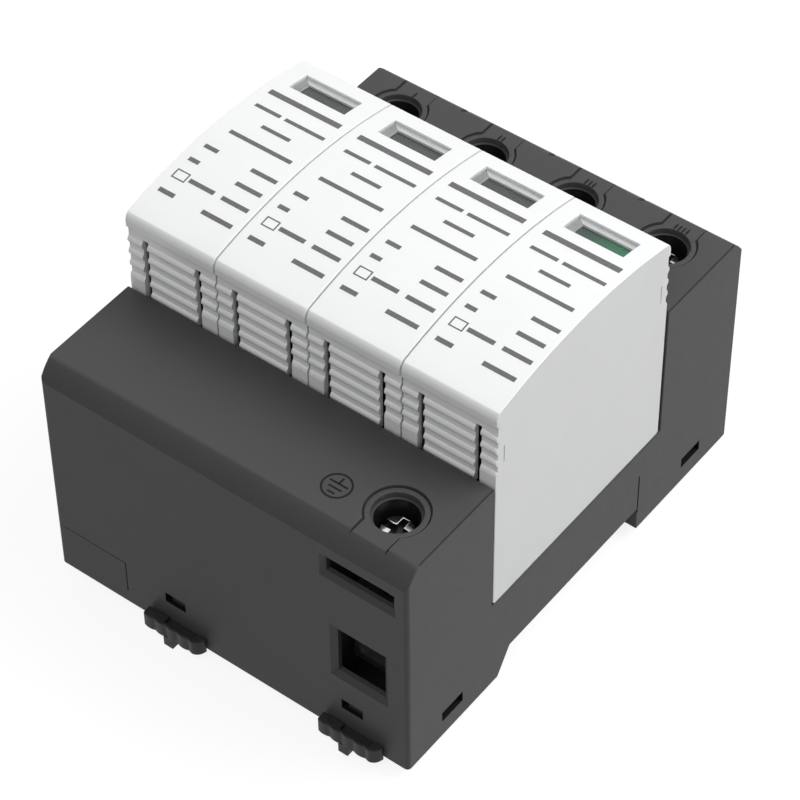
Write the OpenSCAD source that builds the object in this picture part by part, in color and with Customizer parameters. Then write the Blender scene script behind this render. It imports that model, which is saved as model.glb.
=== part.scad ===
// Four-pole pluggable surge arrester for a 35 mm mounting rail.
// Frame: X runs along the rail, +Y is the line side, -Y the earth side, +Z points away from the rail.
// The origin is the middle of the rail seat. Millimetres.

/* [Base] */
// Width of one pole
pole_pitch = 18; // [17.6:0.1:19]
// Length of the base across the rail
base_length = 90; // [88:0.5:94]
// Height of the two terminal blocks above the rail seat
block_top = 42; // [41:0.5:44]
// Depth of the feet below the rail seat
foot_depth = 5; // [4.8:0.1:5.6]
// Wall of the base housing
wall = 1.6; // [1.4:0.1:1.8]
// Roof of the terminal blocks
roof_t = 2.2; // [2:0.1:2.6]
// Floor of the well that the cartridges stand in
floor_t = 2; // [1.6:0.1:2.4]
// Height of that floor above the rail seat
well_floor_z = 14.2; // [14:0.1:15.5]
// Length of the rounded shoulder on top of each block
shoulder_length = 3; // [2.4:0.1:3.6]
// Drop of the rounded shoulder down the end face
shoulder_drop = 3.7; // [3:0.1:4.2]
// Radius of the rounded shoulder
shoulder_r = 10; // [8:0.5:14]
// Radius of the base's upright corners
corner_r = 0.8; // [0.5:0.1:1.2]
// Radius of the rear foot's lower edge
foot_r = 1.2; // [0.8:0.1:1.4]

/* [Rail] */
// Width of the mounting rail
rail_width = 35; // [34.6:0.1:35.4]
// Thickness of the rail's flange
rail_flange = 1; // [0.9:0.1:1.2]
// Play between the rail and the notch on the latch side
rail_front_play = 0.7; // [0.5:0.1:1]
// Play between the rail and the fixed hook side
rail_rear_play = 0.3; // [0.2:0.1:0.6]
// How far the notch's front wall slants outward at the foot
lead_in = 3.2; // [2.6:0.1:3.6]
// Reach of the fixed hook under the rail
hook_reach = 1.6; // [1.2:0.1:2]

/* [Terminals] */
// Distance from the end face to the screw axis
screw_inset = 9.5; // [9:0.1:10]
// Diameter of the screwdriver hole
driver_hole_d = 7.3; // [6.8:0.1:7.6]
// Diameter of that hole's wider mouth
driver_mouth_d = 8.2; // [8:0.1:8.6]
// Depth of the mouth
driver_mouth_depth = 1.1; // [0.8:0.1:1.3]
// Diameter of the sunk ring around the hole
ring_d = 10.6; // [10:0.1:11]
// Width of the sunk channel from the ring to the end face
channel_w = 7; // [6:0.1:7.6]
// Depth of the sunk ring and channel
ring_depth = 0.3; // [0.25:0.05:0.4]
// Width of the line around the sunk ring and channel
ring_line_w = 0.3; // [0.2:0.05:0.4]
// Depth of that line below the ring
ring_line_depth = 0.5; // [0.3:0.1:0.6]
// Wall of the screwdriver guide under the roof
guide_t = 0.9; // [0.7:0.1:1.1]
// Length of that guide below the roof
guide_drop = 3.6; // [3.2:0.1:3.8]
// Width of the wire entry at the face
entry_w = 11.2; // [10.8:0.1:12]
// Height of the wire entry at the face
entry_h = 12.2; // [12:0.1:12.6]
// Middle of the wire entry above the rail seat
entry_z = 14.3; // [14.1:0.1:14.6]
// Taper of the wire entry on each side
entry_bevel = 1; // [0.8:0.1:1.2]
// Width of the fork slot at the face
fork_w = 14.4; // [13.8:0.1:14.8]
// Height of the fork slot at the face
fork_h = 5; // [4.6:0.1:5.2]
// Middle of the fork slot above the rail seat
fork_z = 33.6; // [33.4:0.1:34]
// Taper of the fork slot on each side
fork_bevel = 0.8; // [0.6:0.1:1]
// Depth of both tapers
bevel_depth = 0.8; // [0.6:0.1:1]
// Shift of the wire entry and fork slot from the screw's axis
entry_shift = 0.45; // [0.2:0.05:0.6]

/* [Screws and cages] */
// Diameter of the terminal screw
screw_d = 4.9; // [4.6:0.1:5]
// Diameter of the screw head
head_d = 6; // [5.6:0.1:6.4]
// Height of the screw head
head_h = 2.5; // [2.2:0.1:2.8]
// Depth of the head's top below the block's top
head_depth = 4; // [3.8:0.1:4.2]
// Width of the straight slot in the head
head_slot_w = 1.2; // [1:0.1:1.4]
// Depth of the recess in the head
head_slot_depth = 1.5; // [1.2:0.1:1.6]
// Radial clearance between the screw and the cage
thread_play = 0.05; // [0.03:0.01:0.08]
// Wall of the clamp cage
cage_wall = 1.2; // [1:0.1:1.4]
// Clear width inside the clamp cage
cage_inner_w = 8.6; // [8.4:0.1:9]
// Length of the clamp cage along the wire
cage_length = 8.4; // [7.6:0.1:9]
// Floor of the clamp cage
cage_floor = 1.5; // [1.2:0.1:1.8]
// Threaded top of the clamp cage
cage_head = 2.6; // [2.2:0.1:2.8]
// Clear height for the wire when the cage is open
wire_space = 10.5; // [10:0.1:10.8]
// Play between the cage's threaded top and the contact bar when open
cage_top_play = 0.6; // [0.4:0.1:0.8]

/* [Contacts] */
// Height of the contact bar's top in the terminal
bar_top_z = 21.6; // [21.2:0.1:21.8]
// Thickness of the contact bars
bar_t = 1.6; // [1.4:0.1:1.8]
// Width of the contact bars
bar_w = 6; // [5.4:0.1:6.4]
// Distance of the blades from the middle of the rail
blade_y = 15; // [14.6:0.1:15.4]
// Thickness of the plug blades
blade_t = 1; // [0.8:0.1:1.2]
// Width of the plug blades
blade_w = 6; // [5.4:0.1:6.4]
// Depth of the blades below the cartridge
blade_reach = 9.6; // [9:0.1:9.8]
// Play between a blade and each leg of its clip
contact_play = 0.05; // [0.03:0.01:0.08]
// Thickness of the clip's legs
clip_t = 0.8; // [0.6:0.1:1]
// Height of the clip's legs above the bar
clip_h = 7.6; // [7:0.1:8]

/* [Cartridge] */
// Length of a cartridge across the rail
cartridge_length = 45.6; // [45.2:0.1:45.8]
// Gap between a cartridge and each end of the well
cartridge_play = 0.5; // [0.3:0.05:0.8]
// Gap between two cartridges
cartridge_gap = 0.3; // [0.2:0.05:0.5]
// Height of the arched top above the rail seat
cartridge_top = 60.4; // [59.5:0.1:62]
// Radius of the arched top
arch_r = 88; // [80:1:110]
// Radius of the rounded front and rear edges
edge_r = 2; // [1.6:0.1:2.4]
// Radius of the cover's lower front and rear corners
heel_r = 0.6; // [0.4:0.1:1]
// Side walls of the cover
cover_wall = 1.3; // [1.1:0.1:1.5]
// Top of the cover
cover_roof = 1.6; // [1.4:0.1:1.8]
// Front and rear walls of the cover behind the grip ribs
grip_wall = 1.5; // [1.3:0.1:1.7]
// Depth of the lip's edge below the arched top
lip_drop = 5.65; // [5.4:0.05:6]
// Distance from the lip's edge to the uppermost grip rib
rib_drop = 2.85; // [2.6:0.05:3]
// Distance between grip ribs
rib_pitch = 2.6; // [2.5:0.05:2.7]
// Radius of a grip rib
rib_r = 0.9; // [0.8:0.05:1]
// Rise of a rib out of the grip
rib_rise = 0.4; // [0.3:0.01:0.42]
// Depth of the grip behind the lip
grip_depth = 0.45; // [0.4:0.01:0.55]
// Number of ribs on the squeeze tab
tab_ribs = 5; // [5]
// Number of ribs on the strips beside the tab
side_ribs = 4; // [4]
// Distance of the slits from the middle of the cartridge
slit_x = 5.3; // [5:0.1:5.7]
// Width of the slits
slit_w = 1.1; // [0.9:0.1:1.3]
// Distance from the lip's edge to the slits
slit_drop = 1.7; // [1.4:0.1:1.9]
// Widening of the slits inside the wall
slit_relief = 0.7; // [0.5:0.1:0.9]
// Wall left beside the slits
slit_skin = 0.7; // [0.6:0.1:0.9]
// Floor plate of the cartridge
plate_t = 2; // [1.8:0.1:2.2]

/* [Indicator] */
// Width of the indicator window
window_w = 11.3; // [10.5:0.1:12]
// Length of the indicator window
window_l = 4.7; // [4.4:0.1:5]
// Distance from the cartridge's rear face to the middle of the window
window_inset = 6.3; // [6:0.1:6.5]
// Depth of the clear window below the cover's top
window_sunk = 0.2; // [0.1:0.1:0.3]
// Thickness of the clear window
window_t = 0.5; // [0.4:0.1:0.6]
// Thickness of the cover's top around the window
window_roof = 1.2; // [1.1:0.1:1.4]
// Width of the ledge under the window's right end
window_ledge = 0.5; // [0.4:0.05:0.7]
// Width of the ledge under the window's left end
window_left_ledge = 1.4; // [1:0.1:1.8]
// Width of the ledge under the window's rear edge
window_rear_ledge = 1.2; // [0.9:0.1:1.4]
// Thickness of the status flag
flag_t = 0.8; // [0.6:0.1:1]

/* [Varistor] */
// Thickness of the varistor block
varistor_t = 8.4; // [7:0.1:9]
// Length of the varistor block
varistor_l = 34; // [30:0.5:36]
// Height of the varistor block
varistor_h = 32; // [28:0.5:33]
// Thickness of the thermal disconnect spring
spring_t = 0.6; // [0.4:0.1:0.8]
// Width of the thermal disconnect spring
spring_w = 5; // [4:0.5:6]

/* [Latches and snap hooks] */
// Distance of the right latch from the middle
latch_right_x = 25; // [24.6:0.1:25.4]
// Distance of the left latch from the middle
latch_left_x = -11; // [-11.4:0.1:-10.6]
// Travel of a rail latch
latch_travel = 3.5; // [3:0.1:4]
// Width of the latch's stem
stem_w = 7.4; // [7:0.1:8]
// Height of the latch's stem
stem_h = 1.8; // [1.6:0.1:2]
// Width of the latch's guide flange
latch_flange_w = 10; // [9.4:0.1:10.6]
// Thickness of the latch's guide flange
latch_flange_t = 1.2; // [1:0.1:1.4]
// Reach of the latch's nose under the rail
nose_reach = 1.2; // [1:0.1:1.6]
// Reach of the finger grip in front of the base
grip_reach = 2.2; // [1.9:0.1:2.4]
// Reach of the finger grip to the left of the stem's middle
grip_left = 5.5; // [5:0.1:6]
// Reach of the finger grip to the right of the stem's middle
grip_right = 6.3; // [5.8:0.1:6.6]
// Height of the finger grip
grip_h = 3; // [2.7:0.1:3.1]
// Radius of the grip's flat waves
lobe_r = 3.2; // [2.6:0.2:4]
// Radius of the grip's right end
grip_end_r = 1.8; // [1.2:0.1:1.8]
// Width of the grip's middle tongue
tongue_w = 1.9; // [1.6:0.1:2.2]
// Drop of that tongue
tongue_drop = 2.1; // [1.6:0.1:2.1]
// Shift of that tongue from the middle of the grip
tongue_shift = 0.5; // [0.3:0.1:0.8]
// Width of a snap window
snap_w = 4.2; // [3.8:0.1:4.6]
// Gap beside an end hook in its window
snap_gap = 0.9; // [0.6:0.1:1.2]
// Width of a snap window on the side faces
snap_side_w = 5.4; // [5:0.1:5.6]
// Height of a snap window
snap_h = 2.2; // [2:0.1:2.4]
// Middle of the end windows above the rail seat
snap_end_z = 2.2; // [2:0.1:2.6]
// Middle of the side windows above the rail seat
snap_side_z = -0.4; // [-0.6:0.1:-0.2]
// Distance of the side windows from the middle of the rail
snap_side_y = 33.5; // [33:0.1:34]
// Clearance of parts that are pushed together
fit = 0.1; // [0.05:0.01:0.15]
// Clearance of parts that slide
slide_play = 0.2; // [0.15:0.05:0.3]

/* [Hidden] */
$fn = 64;
pole_count = 4;
base_w = pole_count * pole_pitch;
base_half = base_length / 2;
base_end = base_half - wall;
well_half = cartridge_length / 2 + cartridge_play;
block_inner = well_half + wall;
cavity_w = pole_pitch - 2 * wall;
inside_w = base_w - 2 * wall;
below = 1;
seat_gap = 0.05;

rail_front = -rail_width / 2 - rail_front_play;
rail_rear = rail_width / 2 + rail_rear_play;
cover_t = 2;
latch_plate_t = 4.6;
foot_z = -foot_depth;
front_plate_z = foot_z + latch_plate_t;
rear_plate_z = foot_z + cover_t;
hook_t = 1.9;
hook_play = 0.3;

screw_y = base_half - screw_inset;
head_top_z = block_top - head_depth;
driver_guide_z = block_top - roof_t - guide_drop;
bar_under_z = bar_top_z - bar_t;
cage_floor_z = bar_under_z - wire_space;
cage_top_z = bar_top_z + cage_top_play + cage_head;
cage_w = cage_inner_w + 2 * cage_wall;
riser_y = block_inner + 0.5;
bar_end_y = screw_y + cage_length / 2 + 0.8;
clip_gap = blade_t / 2 + contact_play;

cartridge_half = cartridge_length / 2;
window_y = cartridge_half - window_inset;
lip_z = cartridge_top - lip_drop;
rib_top_z = lip_z - rib_drop;
cartridge_w = pole_pitch - cartridge_gap;
cartridge_z = well_floor_z + seat_gap;
arch_z = cartridge_top - arch_r;
edge_y = cartridge_half - edge_r;
edge_z = arch_z + sqrt(pow(arch_r, 2) - pow(edge_y, 2)) - edge_r + 0.1;
valley_y = cartridge_half - grip_depth;
cavity_y = valley_y - grip_wall;
cavity_x = cartridge_w / 2 - cover_wall;
block_z = rib_top_z - (side_ribs - 1) * rib_pitch;
tab_end_z = rib_top_z - (tab_ribs - 1) * rib_pitch - rib_pitch / 2;
tab_gap = 2;
slit_top_z = lip_z - slit_drop;
slit_outer = slit_x + slit_w / 2;
plate_top_z = cartridge_z + plate_t;
blade_ear = 1.5;
shoulder_top_z = plate_top_z + blade_ear;
flag_depth = window_roof + fit;
flag_over = 0.8;
flag_side = 0.4;

latch_x = [latch_left_x, latch_right_x];
stem_top_z = foot_z + stem_h;
nose_top_z = -rail_flange - 0.6;
nose_y = -rail_width / 2 + nose_reach;
snap_arm = 1.4;
snap_reach = 0.8;
snap_end_reach = wall - 0.6;
grip_back = -base_half - 0.3;
grip_front = -base_half - grip_reach;

CHARCOAL = "#4a4b4d";
WHITE = "#e9e9e8";
STEEL = "#c9ccd0";
TINNED = "#d8d4c8";

// Place of a pole along the rail
function pole_x(i) = (i - (pole_count + 1) / 2) * pole_pitch;

// The five terminals: pole and side of the rail
TERMINALS = concat([for (i = [1:pole_count]) [pole_x(i), 1]], [[pole_x(pole_count), -1]]);

// Extrudes an outline drawn in Y and Z along the rail
module along_x(width) {
    rotate([90, 0, 90])
        linear_extrude(height = width, center = true)
            children();
}

// Box given by its lowest and highest corners
module span(low, high) {
    translate(low)
        cube(high - low);
}

// Turns a shape made for the +Y side to the side asked for
module on_side(side) {
    mirror([0, side < 0 ? 1 : 0, 0])
        children();
}

// Rectangular opening through the end wall at +Y, with a tapered mouth
module funnel(width, height, z, bevel) {
    face = base_half;
    mouth = face - bevel_depth;
    over = bevel / bevel_depth * below;
    translate([0, 0, z])
        intersection() {
            linear_extrude(height = 2 * height, center = true)
                polygon([
                    [-width / 2 - over, face + below], [-width / 2 + bevel, mouth],
                    [width / 2 - bevel, mouth], [width / 2 + over, face + below]
                ]);
            along_x(2 * width)
                polygon([
                    [face + below, -height / 2 - over], [mouth, -height / 2 + bevel],
                    [mouth, height / 2 - bevel], [face + below, height / 2 + over]
                ]);
        }
    span([-width / 2 + bevel, face - wall - below, z - height / 2 + bevel],
         [width / 2 - bevel, mouth + fit, z + height / 2 - bevel]);
}

// Rounded shoulder taken off the upper corner of a terminal block, deeper by the depth asked for
module shoulder_cut(deeper = 0) {
    chord = norm([shoulder_length, shoulder_drop]);
    rise = sqrt(pow(shoulder_r, 2) - pow(chord / 2, 2));
    centre = [
        base_half - shoulder_length / 2 - rise * shoulder_drop / chord,
        block_top - shoulder_drop / 2 - rise * shoulder_length / chord
    ];
    difference() {
        translate([base_half - shoulder_length - deeper, block_top - shoulder_drop - deeper])
            square([shoulder_length + deeper + below, shoulder_drop + deeper + below]);
        translate(centre)
            circle(r = shoulder_r - deeper);
    }
}

// Area taken off a lower right corner at the origin to round it
module corner_cut(r) {
    difference() {
        translate([-r, -below])
            square([r + below, r + below]);
        translate([-r, r])
            circle(r = r);
    }
}

// Side view of the base
module base_outline() {
    difference() {
        polygon([
            [-base_half, foot_z], [rail_front - lead_in, foot_z], [rail_front, 0],
            [rail_rear, 0], [rail_rear, foot_z], [base_half, foot_z],
            [base_half, block_top], [well_half, block_top], [well_half, well_floor_z],
            [-well_half, well_floor_z], [-well_half, block_top], [-base_half, block_top]
        ]);
        shoulder_cut();
        mirror([1, 0])
            shoulder_cut();
        translate([base_half, foot_z])
            corner_cut(foot_r);
    }
}

// Plan of the base with its rounded corners
module base_plan() {
    square([base_w, base_length - 2 * corner_r], center = true);
    square([base_w - 2 * corner_r, base_length], center = true);
    for (x = [-1, 1], y = [-1, 1])
        translate([x * (base_w / 2 - corner_r), y * (base_half - corner_r)])
            circle(r = corner_r);
}

// Side view of the hollow of one pole, open below
module pole_hollow_outline() {
    low = foot_z - below;
    translate([-base_end, low])
        square([2 * base_end, well_floor_z - floor_t - low]);
    for (m = [0, 1])
        mirror([m, 0])
            translate([block_inner, low])
                square([base_end - block_inner, block_top - roof_t - low]);
}

// Side view of the room for the bottom cover
module cover_room_outline() {
    low = foot_z - below;
    polygon([
        [-base_end, low], [base_end, low], [base_end, rear_plate_z],
        [rail_rear + cover_t + fit, rear_plate_z], [rail_rear + cover_t + fit, cover_t],
        [rail_front - cover_t - fit, cover_t], [rail_front - cover_t - fit, front_plate_z],
        [-base_end, front_plate_z]
    ]);
}

// Plan of the sunk ring and channel of a terminal at +Y, smaller by the inset asked for
module sunk_plan(inset) {
    translate([0, screw_y])
        circle(d = ring_d - 2 * inset);
    translate([-channel_w / 2 + inset, screw_y])
        square([channel_w - 2 * inset, base_half - screw_y + below]);
}

// Solid that the screwdriver guide of a terminal at +Y is bored in
module driver_guide() {
    translate([0, screw_y, driver_guide_z])
        cylinder(d = driver_hole_d + 2 * guide_t, h = block_top - driver_guide_z);
}

// Openings of one terminal in the block at +Y
module terminal_openings() {
    ring_z = block_top - ring_depth;
    translate([0, 0, ring_z])
        linear_extrude(height = ring_depth + below)
            sunk_plan(0);
    translate([0, 0, ring_z - ring_line_depth])
        linear_extrude(height = ring_line_depth + fit)
            difference() {
                sunk_plan(0);
                sunk_plan(ring_line_w);
            }
    translate([0, screw_y, driver_guide_z - below])
        cylinder(d = driver_hole_d, h = block_top - driver_guide_z + 2 * below);
    translate([0, screw_y, ring_z - driver_mouth_depth])
        cylinder(d = driver_mouth_d, h = driver_mouth_depth + below);
    translate([-entry_shift, 0, 0]) {
        funnel(entry_w, entry_h, entry_z, entry_bevel);
        funnel(fork_w, fork_h, fork_z, fork_bevel);
    }
}

// Windows that the hooks of the bottom cover snap into
module snap_windows() {
    for (side = [-1, 1])
        on_side(side) {
            for (x = latch_x)
                span([x - snap_w / 2, base_end - below, snap_end_z - snap_h / 2],
                     [x + snap_w / 2, base_half + below, snap_end_z + snap_h / 2]);
            for (x = [-base_w / 2 - below, inside_w / 2 - below])
                span([x, snap_side_y - snap_side_w / 2, snap_side_z - snap_h / 2],
                     [x + wall + 2 * below, snap_side_y + snap_side_w / 2, snap_side_z + snap_h / 2]);
        }
}

// One-piece moulding with the two terminal blocks, the well and the rail notch
module base_housing() {
    groove_w = 1;
    groove_depth = 0.9;
    line_w = 0.35;
    panel_line = 0.2;
    relief_top_z = 8;
    panel = [-base_w / 2 + wall, -pole_pitch - 3.3];
    panel_z = [foot_z + 2.6, 4.7];
    color(CHARCOAL)
        difference() {
            intersection() {
                along_x(base_w)
                    base_outline();
                translate([0, 0, foot_z - below])
                    linear_extrude(height = block_top - foot_z + 2 * below)
                        base_plan();
            }
            difference() {
                for (i = [1:pole_count])
                    translate([pole_x(i), 0, 0])
                        along_x(cavity_w)
                            pole_hollow_outline();
                for (t = TERMINALS)
                    translate([t[0], 0, 0])
                        on_side(t[1])
                            driver_guide();
            }
            along_x(inside_w)
                cover_room_outline();
            // Passage for the earth busbar through the walls between the poles
            span([pole_x(1), -blade_y - bar_w / 2 - slide_play, -below],
                 [pole_x(pole_count), -blade_y + bar_w / 2 + slide_play, cover_t + bar_t + slide_play]);
            // Slots for the plug blades in the floor of the well
            for (i = [1:pole_count], side = [-1, 1])
                translate([pole_x(i), side * blade_y, 0])
                    span([-blade_w / 2 - 3 * slide_play, -blade_t, 0],
                         [blade_w / 2 + 3 * slide_play, blade_t, well_floor_z + below]);
            for (t = TERMINALS)
                translate([t[0], 0, 0])
                    on_side(t[1])
                        terminal_openings();
            snap_windows();
            // Notches in the front wall for the stems of the rail latches
            for (x = latch_x)
                span([x - stem_w / 2 - slide_play, -base_half - below, foot_z - below],
                     [x + stem_w / 2 + slide_play, -base_end + below, stem_top_z + slide_play]);
            // Grooves between the poles on the rear face and its shoulder
            for (i = [1:pole_count - 1])
                translate([pole_x(i) + pole_pitch / 2, 0, 0]) {
                    span([-groove_w / 2, base_half - groove_depth, foot_z - below],
                         [groove_w / 2, base_half + below, block_top + below]);
                    along_x(groove_w)
                        shoulder_cut(groove_depth / 2);
                }
            // Relief slits above the fixed hook on the side faces
            for (x = [-base_w / 2, base_w / 2])
                span([x - line_w, rail_rear - line_w / 2, -below],
                     [x + line_w, rail_rear + line_w / 2, relief_top_z]);
            // Outline of the blank panel at the lower left of the front
            span([panel[0], -base_half - below, panel_z[1] - panel_line],
                 [panel[1], -base_half + panel_line, panel_z[1]]);
            span([panel[1] - panel_line, -base_half - below, panel_z[0]],
                 [panel[1], -base_half + panel_line, panel_z[1]]);
        }
}

// Side view of the bottom cover
module bottom_cover_outline() {
    end = base_end - fit;
    polygon([
        [-end, foot_z], [rail_front - lead_in, foot_z], [rail_front, 0],
        [rail_rear, 0], [rail_rear, foot_z], [end, foot_z], [end, rear_plate_z],
        [rail_rear + cover_t, rear_plate_z], [rail_rear + cover_t, cover_t],
        [rail_front - cover_t, cover_t], [rail_front - cover_t, front_plate_z], [-end, front_plate_z]
    ]);
}

// Hook of the bottom cover for an end window at +Y, standing on the plate at z
module end_hook(z) {
    out = base_end - fit;
    left = -snap_w / 2 + snap_gap;
    span([left, out - snap_arm, z], [snap_w / 2 - fit, out, snap_end_z + snap_h / 2 - fit]);
    span([left, out - fit, snap_end_z - snap_h / 2 + fit],
         [snap_w / 2 - fit, out + snap_end_reach, snap_end_z + snap_h / 2 - fit]);
}

// Hook of the bottom cover for a side window at +X, standing on the plate at z
module side_hook(z) {
    out = inside_w / 2 - fit;
    half = snap_side_w / 2 - fit;
    span([out - snap_arm, -half, z], [out, half, snap_side_z + snap_h / 2 - fit]);
    span([out - fit, -half, snap_side_z - snap_h / 2 + fit],
         [out + snap_reach, half, snap_side_z + snap_h / 2 - fit]);
}

// Bottom cover with the latch guides, the fixed rail hook and the snap hooks
module bottom_cover() {
    guide_z = stem_top_z - fit;
    nose_room = nose_y - latch_travel - 6;
    color(CHARCOAL) {
        difference() {
            union() {
                along_x(inside_w - 2 * fit)
                    bottom_cover_outline();
                // Fixed hook under the rail's rear flange
                along_x(inside_w - 2 * fit - 2 * wall)
                    polygon([
                        [rail_rear + fit, -rail_flange - hook_play],
                        [rail_rear - hook_reach, -rail_flange - hook_play],
                        [rail_rear - hook_reach, -rail_flange - hook_play - hook_t / 2],
                        [rail_rear + fit, -rail_flange - hook_play - hook_t]
                    ]);
                for (x = latch_x) {
                    translate([x, 0, 0])
                        end_hook(rear_plate_z - fit);
                    translate([x, 0, 0])
                        on_side(-1)
                            end_hook(front_plate_z - fit);
                }
                for (m = [0, 1])
                    mirror([m, 0, 0]) {
                        translate([0, snap_side_y, 0])
                            side_hook(rear_plate_z - fit);
                        translate([0, -snap_side_y, 0])
                            side_hook(front_plate_z - fit);
                    }
            }
            for (x = latch_x) {
                span([x - stem_w / 2 - slide_play, -base_half, foot_z - below],
                     [x + stem_w / 2 + slide_play, rail_front + below, guide_z]);
                span([x - latch_flange_w / 2 - slide_play, -base_half, guide_z],
                     [x + latch_flange_w / 2 + slide_play, nose_room, stem_top_z + latch_flange_t + fit]);
                span([x - stem_w / 2 - slide_play, nose_room - fit, foot_z - below],
                     [x + stem_w / 2 + slide_play, rail_front + below, nose_top_z + slide_play]);
            }
        }
    }
}

// Side view of a contact: strip on the bottom cover, riser and terminal bar
module contact_outline() {
    strip_z = cover_t;
    translate([blade_y - bar_w / 2, strip_z])
        square([riser_y + bar_t - blade_y + bar_w / 2, bar_t]);
    translate([riser_y, strip_z])
        square([bar_t, bar_top_z - strip_z]);
    translate([riser_y, bar_under_z])
        square([bar_end_y - riser_y, bar_t]);
}

// Side view of the two legs of a clip, standing on the strip
module clip_outline() {
    z0 = cover_t + bar_t - fit;
    z1 = cover_t + bar_t + clip_h;
    flare = 0.6;
    for (m = [0, 1])
        translate([blade_y, 0])
            mirror([m, 0])
                polygon([
                    [clip_gap, z0], [clip_gap, z1 - 1], [clip_gap + flare, z1],
                    [clip_gap + flare + clip_t, z1], [clip_gap + clip_t, z1 - 1.2], [clip_gap + clip_t, z0]
                ]);
}

// Contact from one line terminal to the rear clip of its pole
module line_contact(i) {
    color(TINNED)
        translate([pole_x(i), 0, 0])
            union() {
                along_x(bar_w)
                    contact_outline();
                along_x(bar_w)
                    clip_outline();
            }
}

// Common bar under the front clips, with the riser to the earth terminal
module earth_busbar() {
    color(TINNED)
        mirror([0, 1, 0])
            union() {
                translate([pole_x(pole_count), 0, 0])
                    along_x(bar_w)
                        contact_outline();
                for (i = [1:pole_count])
                    translate([pole_x(i), 0, 0])
                        along_x(bar_w)
                            clip_outline();
                span([pole_x(1) - bar_w / 2, blade_y - bar_w / 2, cover_t],
                     [pole_x(pole_count) + bar_w / 2, blade_y + bar_w / 2, cover_t + bar_t]);
            }
}

// Captive screw of a terminal at +Y, with a combined slot and cross recess
module screw_solid() {
    edge = 0.4;
    shank_z = bar_top_z + seat_gap;
    cross_l = 0.76 * head_d;
    difference() {
        translate([0, screw_y, 0])
            union() {
                translate([0, 0, shank_z])
                    cylinder(d = screw_d, h = head_top_z - head_h - shank_z + fit);
                translate([0, 0, head_top_z - head_h])
                    cylinder(d = head_d, h = head_h - edge);
                translate([0, 0, head_top_z - edge])
                    cylinder(d1 = head_d, d2 = head_d - 2 * edge, h = edge);
            }
        translate([0, screw_y, head_top_z - head_slot_depth]) {
            span([-head_d, -head_slot_w / 2, 0.3], [head_d, head_slot_w / 2, head_slot_depth + below]);
            span([-head_slot_w / 2, -cross_l / 2, 0],
                 [head_slot_w / 2, cross_l / 2, head_slot_depth + below]);
            span([-cross_l / 2, -head_slot_w / 2, 0],
                 [cross_l / 2, head_slot_w / 2, head_slot_depth + below]);
        }
    }
}

// Clamp cage of a terminal at +Y, in its open place
module cage_solid() {
    y0 = screw_y - cage_length / 2;
    y1 = screw_y + cage_length / 2;
    difference() {
        span([-cage_w / 2, y0, cage_floor_z - cage_floor], [cage_w / 2, y1, cage_top_z]);
        span([-cage_inner_w / 2, y0 - below, cage_floor_z],
             [cage_inner_w / 2, y1 + below, cage_top_z - cage_head]);
        translate([0, screw_y, cage_top_z - cage_head - below])
            cylinder(r = screw_d / 2 + thread_play, h = cage_head + 2 * below);
    }
}

module terminal_screw(i) {
    color(STEEL)
        translate([pole_x(i), 0, 0])
            screw_solid();
}

module terminal_cage(i) {
    color(STEEL)
        translate([pole_x(i), 0, 0])
            cage_solid();
}

module earth_screw() {
    color(STEEL)
        translate([pole_x(pole_count), 0, 0])
            on_side(-1)
                screw_solid();
}

module earth_cage() {
    color(STEEL)
        translate([pole_x(pole_count), 0, 0])
            on_side(-1)
                cage_solid();
}

// Plan of the finger grip: flat waves along its front, rounded right end
module grip_plan() {
    waves = 5;
    length = grip_left + grip_right;
    step = length / waves;
    depth = grip_back - grip_front;
    translate([-grip_left, grip_front])
        intersection() {
            square([length, depth]);
            union() {
                square([length - grip_end_r, depth]);
                translate([0, grip_end_r])
                    square([length, depth]);
                translate([length - grip_end_r, grip_end_r])
                    circle(r = grip_end_r);
            }
            for (k = [0:waves - 1])
                translate([(k + 0.5) * step, lobe_r])
                    circle(r = lobe_r);
        }
}

// Rail latch: finger grip, stem, guide flange and nose
module rail_latch(x) {
    grip_top_z = stem_top_z + 0.9;
    flange_front = -base_end + fit + latch_travel + 0.3;
    tongue_x = -tongue_shift - tongue_w / 2;
    rim = 0.6;
    dish_depth = 0.8;
    color(CHARCOAL)
        translate([x, 0, 0])
            difference() {
                union() {
                    along_x(stem_w)
                        polygon([
                            [grip_back - fit, foot_z], [nose_y - 2.7, foot_z],
                            [nose_y, nose_top_z - 0.8], [nose_y, nose_top_z],
                            [nose_y - 4.9, nose_top_z], [nose_y - 4.9, stem_top_z],
                            [grip_back - fit, stem_top_z]
                        ]);
                    span([-latch_flange_w / 2, flange_front, stem_top_z - fit],
                         [latch_flange_w / 2, nose_y - latch_travel - 6.5, stem_top_z + latch_flange_t]);
                    translate([0, 0, grip_top_z - grip_h])
                        linear_extrude(height = grip_h)
                            grip_plan();
                    // Tongue below the grip for a screwdriver
                    span([tongue_x, grip_front + fit, grip_top_z - grip_h - tongue_drop],
                         [tongue_x + tongue_w, grip_back, grip_top_z - grip_h + fit]);
                }
                // Dish in the top of the grip's right half
                span([tongue_x, grip_front + rim, grip_top_z - dish_depth],
                     [grip_right - grip_end_r, grip_back + below, grip_top_z + below]);
            }
}

module rail_latch_left() {
    rail_latch(latch_left_x);
}

module rail_latch_right() {
    rail_latch(latch_right_x);
}

// Area under the arched top, lowered by the depth asked for
module arch_disc(depth) {
    translate([0, arch_z])
        circle(r = arch_r - depth, $fn = 256);
}

// Side view of a cartridge with its arched top and rounded edges
module cartridge_outline() {
    difference() {
        intersection() {
            arch_disc(0);
            edged_outline();
        }
        for (m = [0, 1])
            mirror([m, 0])
                translate([cartridge_half, cartridge_z])
                    corner_cut(heel_r);
    }
}

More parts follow.
